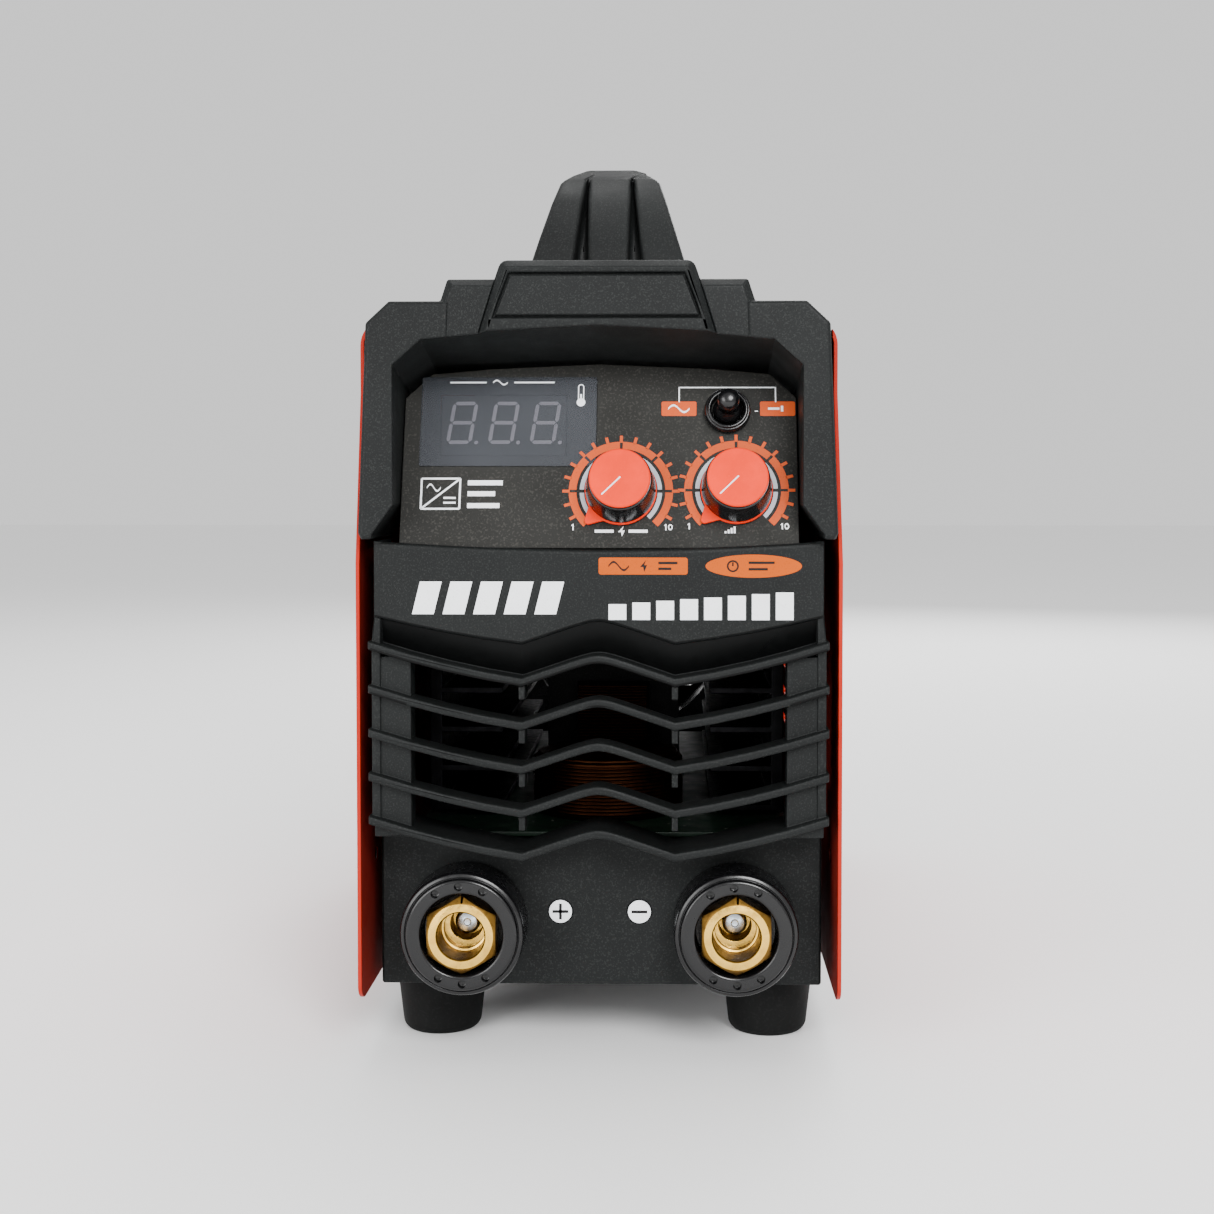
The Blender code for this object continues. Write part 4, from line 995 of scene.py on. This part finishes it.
def label_signs():
    """A wave, a bolt and two lines on one label, a dial and two lines on the other."""
    signs = wave_sign(3.0, 149.4, 6.0, 1.2, 0.6)
    signs += bolt_sign(13.2, 149.4, 1.7)
    signs += [bar((17.6, 150.3), (23.2, 150.3), 0.7), bar((17.6, 148.6), (21.4, 148.6), 0.7)]
    dial = (39.4, 149.4)
    signs += [sector(dial, 1.25, 1.75, 0, 180), sector(dial, 1.25, 1.75, 180, 360),
              bar(dial, (39.4, 150.5), 0.45)]
    signs += [bar((44.0, 150.4), (51.6, 150.4), 0.7), bar((44.0, 148.5), (49.6, 148.5), 0.7)]
    return signs


def make_front_print():
    """Generic marks and two labels on the face under the control panel."""
    rating = rounded_box((0.1, 146.9), (26.2, 151.9), 0.7)
    ellipse = [(45.5 + 14.1 * px, 149.4 + 3.4 * py) for px, py in arc((0, 0), 1.0, 0, 360, 64)[:-1]]
    layers = (("front_marks", front_marks(), 0.02, 0.10, "white_print", "white_print"),
              ("front_labels", [rating, ellipse], 0.02, 0.12, "label_orange", "orange_plastic"),
              ("label_marks", label_signs(), 0.12, 0.16, "dark_print", "black_plastic"))
    matrix = front_frame(0, LOGO_FACE_Y, 0)
    for name, outlines, low, high, finish, slot in layers:
        on_body(flat_shapes(name, outlines, low, high, finish, matrix), "housing", slot)


# ---------------------------------------------------------------- cover, feet, back

def cover_side(z):
    """Half the cover's width at a height: narrow above the flare, full below it."""
    low, high = COVER_FLARE_Z
    share = max(0.0, min(1.0, (high - z) / (high - low)))
    return COVER_HALF_WIDTH + share * (node_box("case_cover")[1].x - COVER_HALF_WIDTH)


def inside_cover(face):
    """The side faces that look inward, which get a darker red as painted shade."""
    looks_in = face.normal.x * face.center.x < 0 and abs(face.normal.x) > 0.5
    return looks_in and abs(face.center.x) > COVER_INSIDE_X * MM


def along_y(name, outline, front, back):
    """A bar of the cover's finish with an (x, z) outline."""
    return loft(name, [[(x, y, z) for x, z in outline] for y in (front, back)], "red_paint")


def across_x(name, outline, near, far):
    """A bar of the cover's finish with a (y, z) outline."""
    return loft(name, [[(x, y, z) for y, z in outline] for x in (near, far)], "red_paint")


def cover_outline(top, bottom, offset):
    """The cover's (x, z) section, its sides and top moved inward by an offset."""
    right = [(cover_side(z) - offset, z) for z in (bottom - offset, *COVER_FLARE_Z)]
    right += arc((COVER_HALF_WIDTH - COVER_BEND, top - COVER_BEND), COVER_BEND - offset, 0, 90, 14)
    return right + [(-x, z) for x, z in reversed(right)]


def notch_cutters():
    """Openings in the top, in front and at the back, for the hood and the rear moulding."""
    notch_y = -node_box("front_hood")[1].y - 0.3
    half, foot, above = NOTCH_HALF_WIDTH, NOTCH_FOOT_Z, NOTCH_FOOT_Z + 35.0
    outline = [(-half, foot), (half, foot), (half, above), (-half, above)]
    return [along_y("notch", outline, *ends) for ends in ((-170.0, -notch_y), (notch_y, 170.0))]


def corner_cutter(front, bottom):
    """What rounds the sides' lower front corner, 7 mm long and 5 mm high."""
    length, height, margin = 7.0, 5.0, 3.0
    outline = [(front + length + y * length, bottom + height + z * height)
               for y, z in arc((0, 0), 1.0, 180, 270, 12)]
    outline += [(front + length, bottom - margin), (front - margin, bottom - margin),
                (front - margin, bottom + height)]
    return across_x("corner", outline, -80, 80)


def side_cutters():
    """Slots and screw holes in both sides."""
    cutters = []
    front_end, rear_end = VENT_ENDS_Y
    for side in (-1, 1):
        for i in range(VENT_COUNT):
            z = VENT_LOW_Z + VENT_PITCH * i
            slot = arc((rear_end, z), VENT_RADIUS, -90, 90, 8)
            slot += arc((front_end, z), VENT_RADIUS, 90, 270, 8)
            cutters.append(across_x("slot", slot, side * 60, side * 84))
        for y in SCREW_HOLES_Y:
            for z in SCREW_HOLES_Z:
                hole = arc((y, z), SCREW_HOLE_RADIUS, 0, 360, 24)[:-1]
                cutters.append(across_x("hole", hole, side * 60, side * 80))
    return cutters


def make_cover():
    """The folded sheet cover with round corners, side slots and open front ears."""
    low, high = node_box("case_cover")
    cover = along_y("cover", cover_outline(high.z, low.z, 0.0), low.y, high.y)
    inside = along_y("inside", cover_outline(high.z, low.z, COVER_SHEET), low.y - 9, high.y + 9)
    cutters = [inside, *notch_cutters(), corner_cutter(low.y, low.z), *side_cutters()]
    combined(cover, cutters, "DIFFERENCE")
    rounded_edges(cover, 0.22, 2)
    # the inward faces of the sides get the darker red: painted shade
    second_finish(cover, "red_painted_shade", inside_cover)
    on_body(cover, "housing", "red_paint", "case_cover")


def make_cover_screws():
    """Round-headed screws with a cross recess."""
    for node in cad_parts:
        if not node.startswith("cover_screw"):
            continue
        centre = node_centre(node)
        side = 1 if centre.x > 0 else -1
        face = side * cover_side(centre.z)
        head = softened([(0, -1.1), (1.9, -1.1), (1.9, 0.3), (4.0, 0.3), (3.9, 0.9), (3.2, 1.7),
                         (1.8, 2.1), (0, 2.2)], 0.4)
        screw = turned(node + "_head", head, "zinc_steel", 40)
        for turn in (0, 90):
            blade = loft("blade", [[(-1.9, -0.35, z), (1.9, -0.35, z), (1.9, 0.35, z), (-1.9, 0.35, z)]
                                   for z in (1.2, 3.0)], "zinc_steel")
            blade.data.transform(Matrix.Rotation(math.radians(turn), 4, "Z"))
            combined(screw, [blade], "DIFFERENCE")
        shaded(screw.data, 35.0)
        matrix = Matrix.Rotation(side * math.pi / 2, 4, "Y")
        matrix.translation = (face, centre.y, centre.z)
        on_body(placed(screw, matrix), "housing", "zinc_steel", node)


def make_feet():
    """Four conical rubber feet."""
    top = node_box("foot_front_left")[1].z
    profile = softened([(4.0, 9.0), (4.0, 0.0), (11.0, 0.0), (12.3, 1.6), (14.5, top), (0, top)],
                       1.5, 6)
    for end in ("front", "rear"):
        for side in ("left", "right"):
            node = f"foot_{end}_{side}"
            centre = node_centre(node)
            foot = turned(node + "_shape", [(0, 9.0)] + profile, "rubber")
            matrix = Matrix.Translation((centre.x, centre.y, 0.0))
            on_body(placed(foot, matrix), "housing", "rubber", node)


def make_back():
    """Mains switch and cable gland."""
    refined("power_switch_body", "gloss_black", 0.4)
    refined("power_rocker", "red_plastic", 0.5, 3, "power_rocker")
    centre = node_centre("cable_gland")
    matrix = rear_frame(centre.x, REAR_FACE_Y, centre.z)
    dome = softened([(5.6, -14.0), (8.3, -14.0), (8.3, 0.3), (12.0, 0.3), (12.0, 4.5), (10.6, 5.2),
                     (10.6, 8.6), (9.6, 11.0), (7.8, 12.0), (6.2, 12.0), (5.6, 11.3), (5.6, -14.0)], 0.5)
    gland = placed(turned("gland_dome", dome, "rubber"), matrix)
    on_body(gland, "housing", "rubber", "cable_gland")
    refined("gland_nut", "gloss_black", 0.3, 2)


def dress_inside():
    """Better materials and soft edges for what shows through the grille and the slots; the heatsinks,
    boards and windings get near-black colours as painted shade for the inside of the case.
    """
    finishes = {"main_board": "board_green", "control_board": "board_green",
                "heatsink_left": "anodised_black", "heatsink_right": "anodised_black",
                "board_rail_left": "aluminium", "board_rail_right": "aluminium",
                "transformer_core": "ferrite", "transformer_winding": "copper",
                "output_choke": "copper", "capacitor_front": "capacitor_sleeve",
                "capacitor_rear": "capacitor_sleeve", "toggle_switch_body": "gloss_black",
                "arc_force_pot_body": "zinc_steel", "amp_pot_body": "zinc_steel"}
    for node, finish in finishes.items():
        refined(node, finish, 0.3, 2)
    for name in KNOB_PLACES:
        refined(name + "_pot_shaft", "aluminium", 0.2, 2, name + "_knob")


def main():
    aim_camera()
    light_studio()
    lay_floor()
    make_mouldings()
    make_handle()
    for name, place in KNOB_PLACES.items():
        make_knob(name, place)
    make_toggle()
    make_socket("positive")
    make_socket("negative")
    make_polarity_marks()
    make_panel_print()
    make_display()
    make_front_print()
    make_cover()
    make_cover_screws()
    make_feet()
    make_back()
    dress_inside()


main()
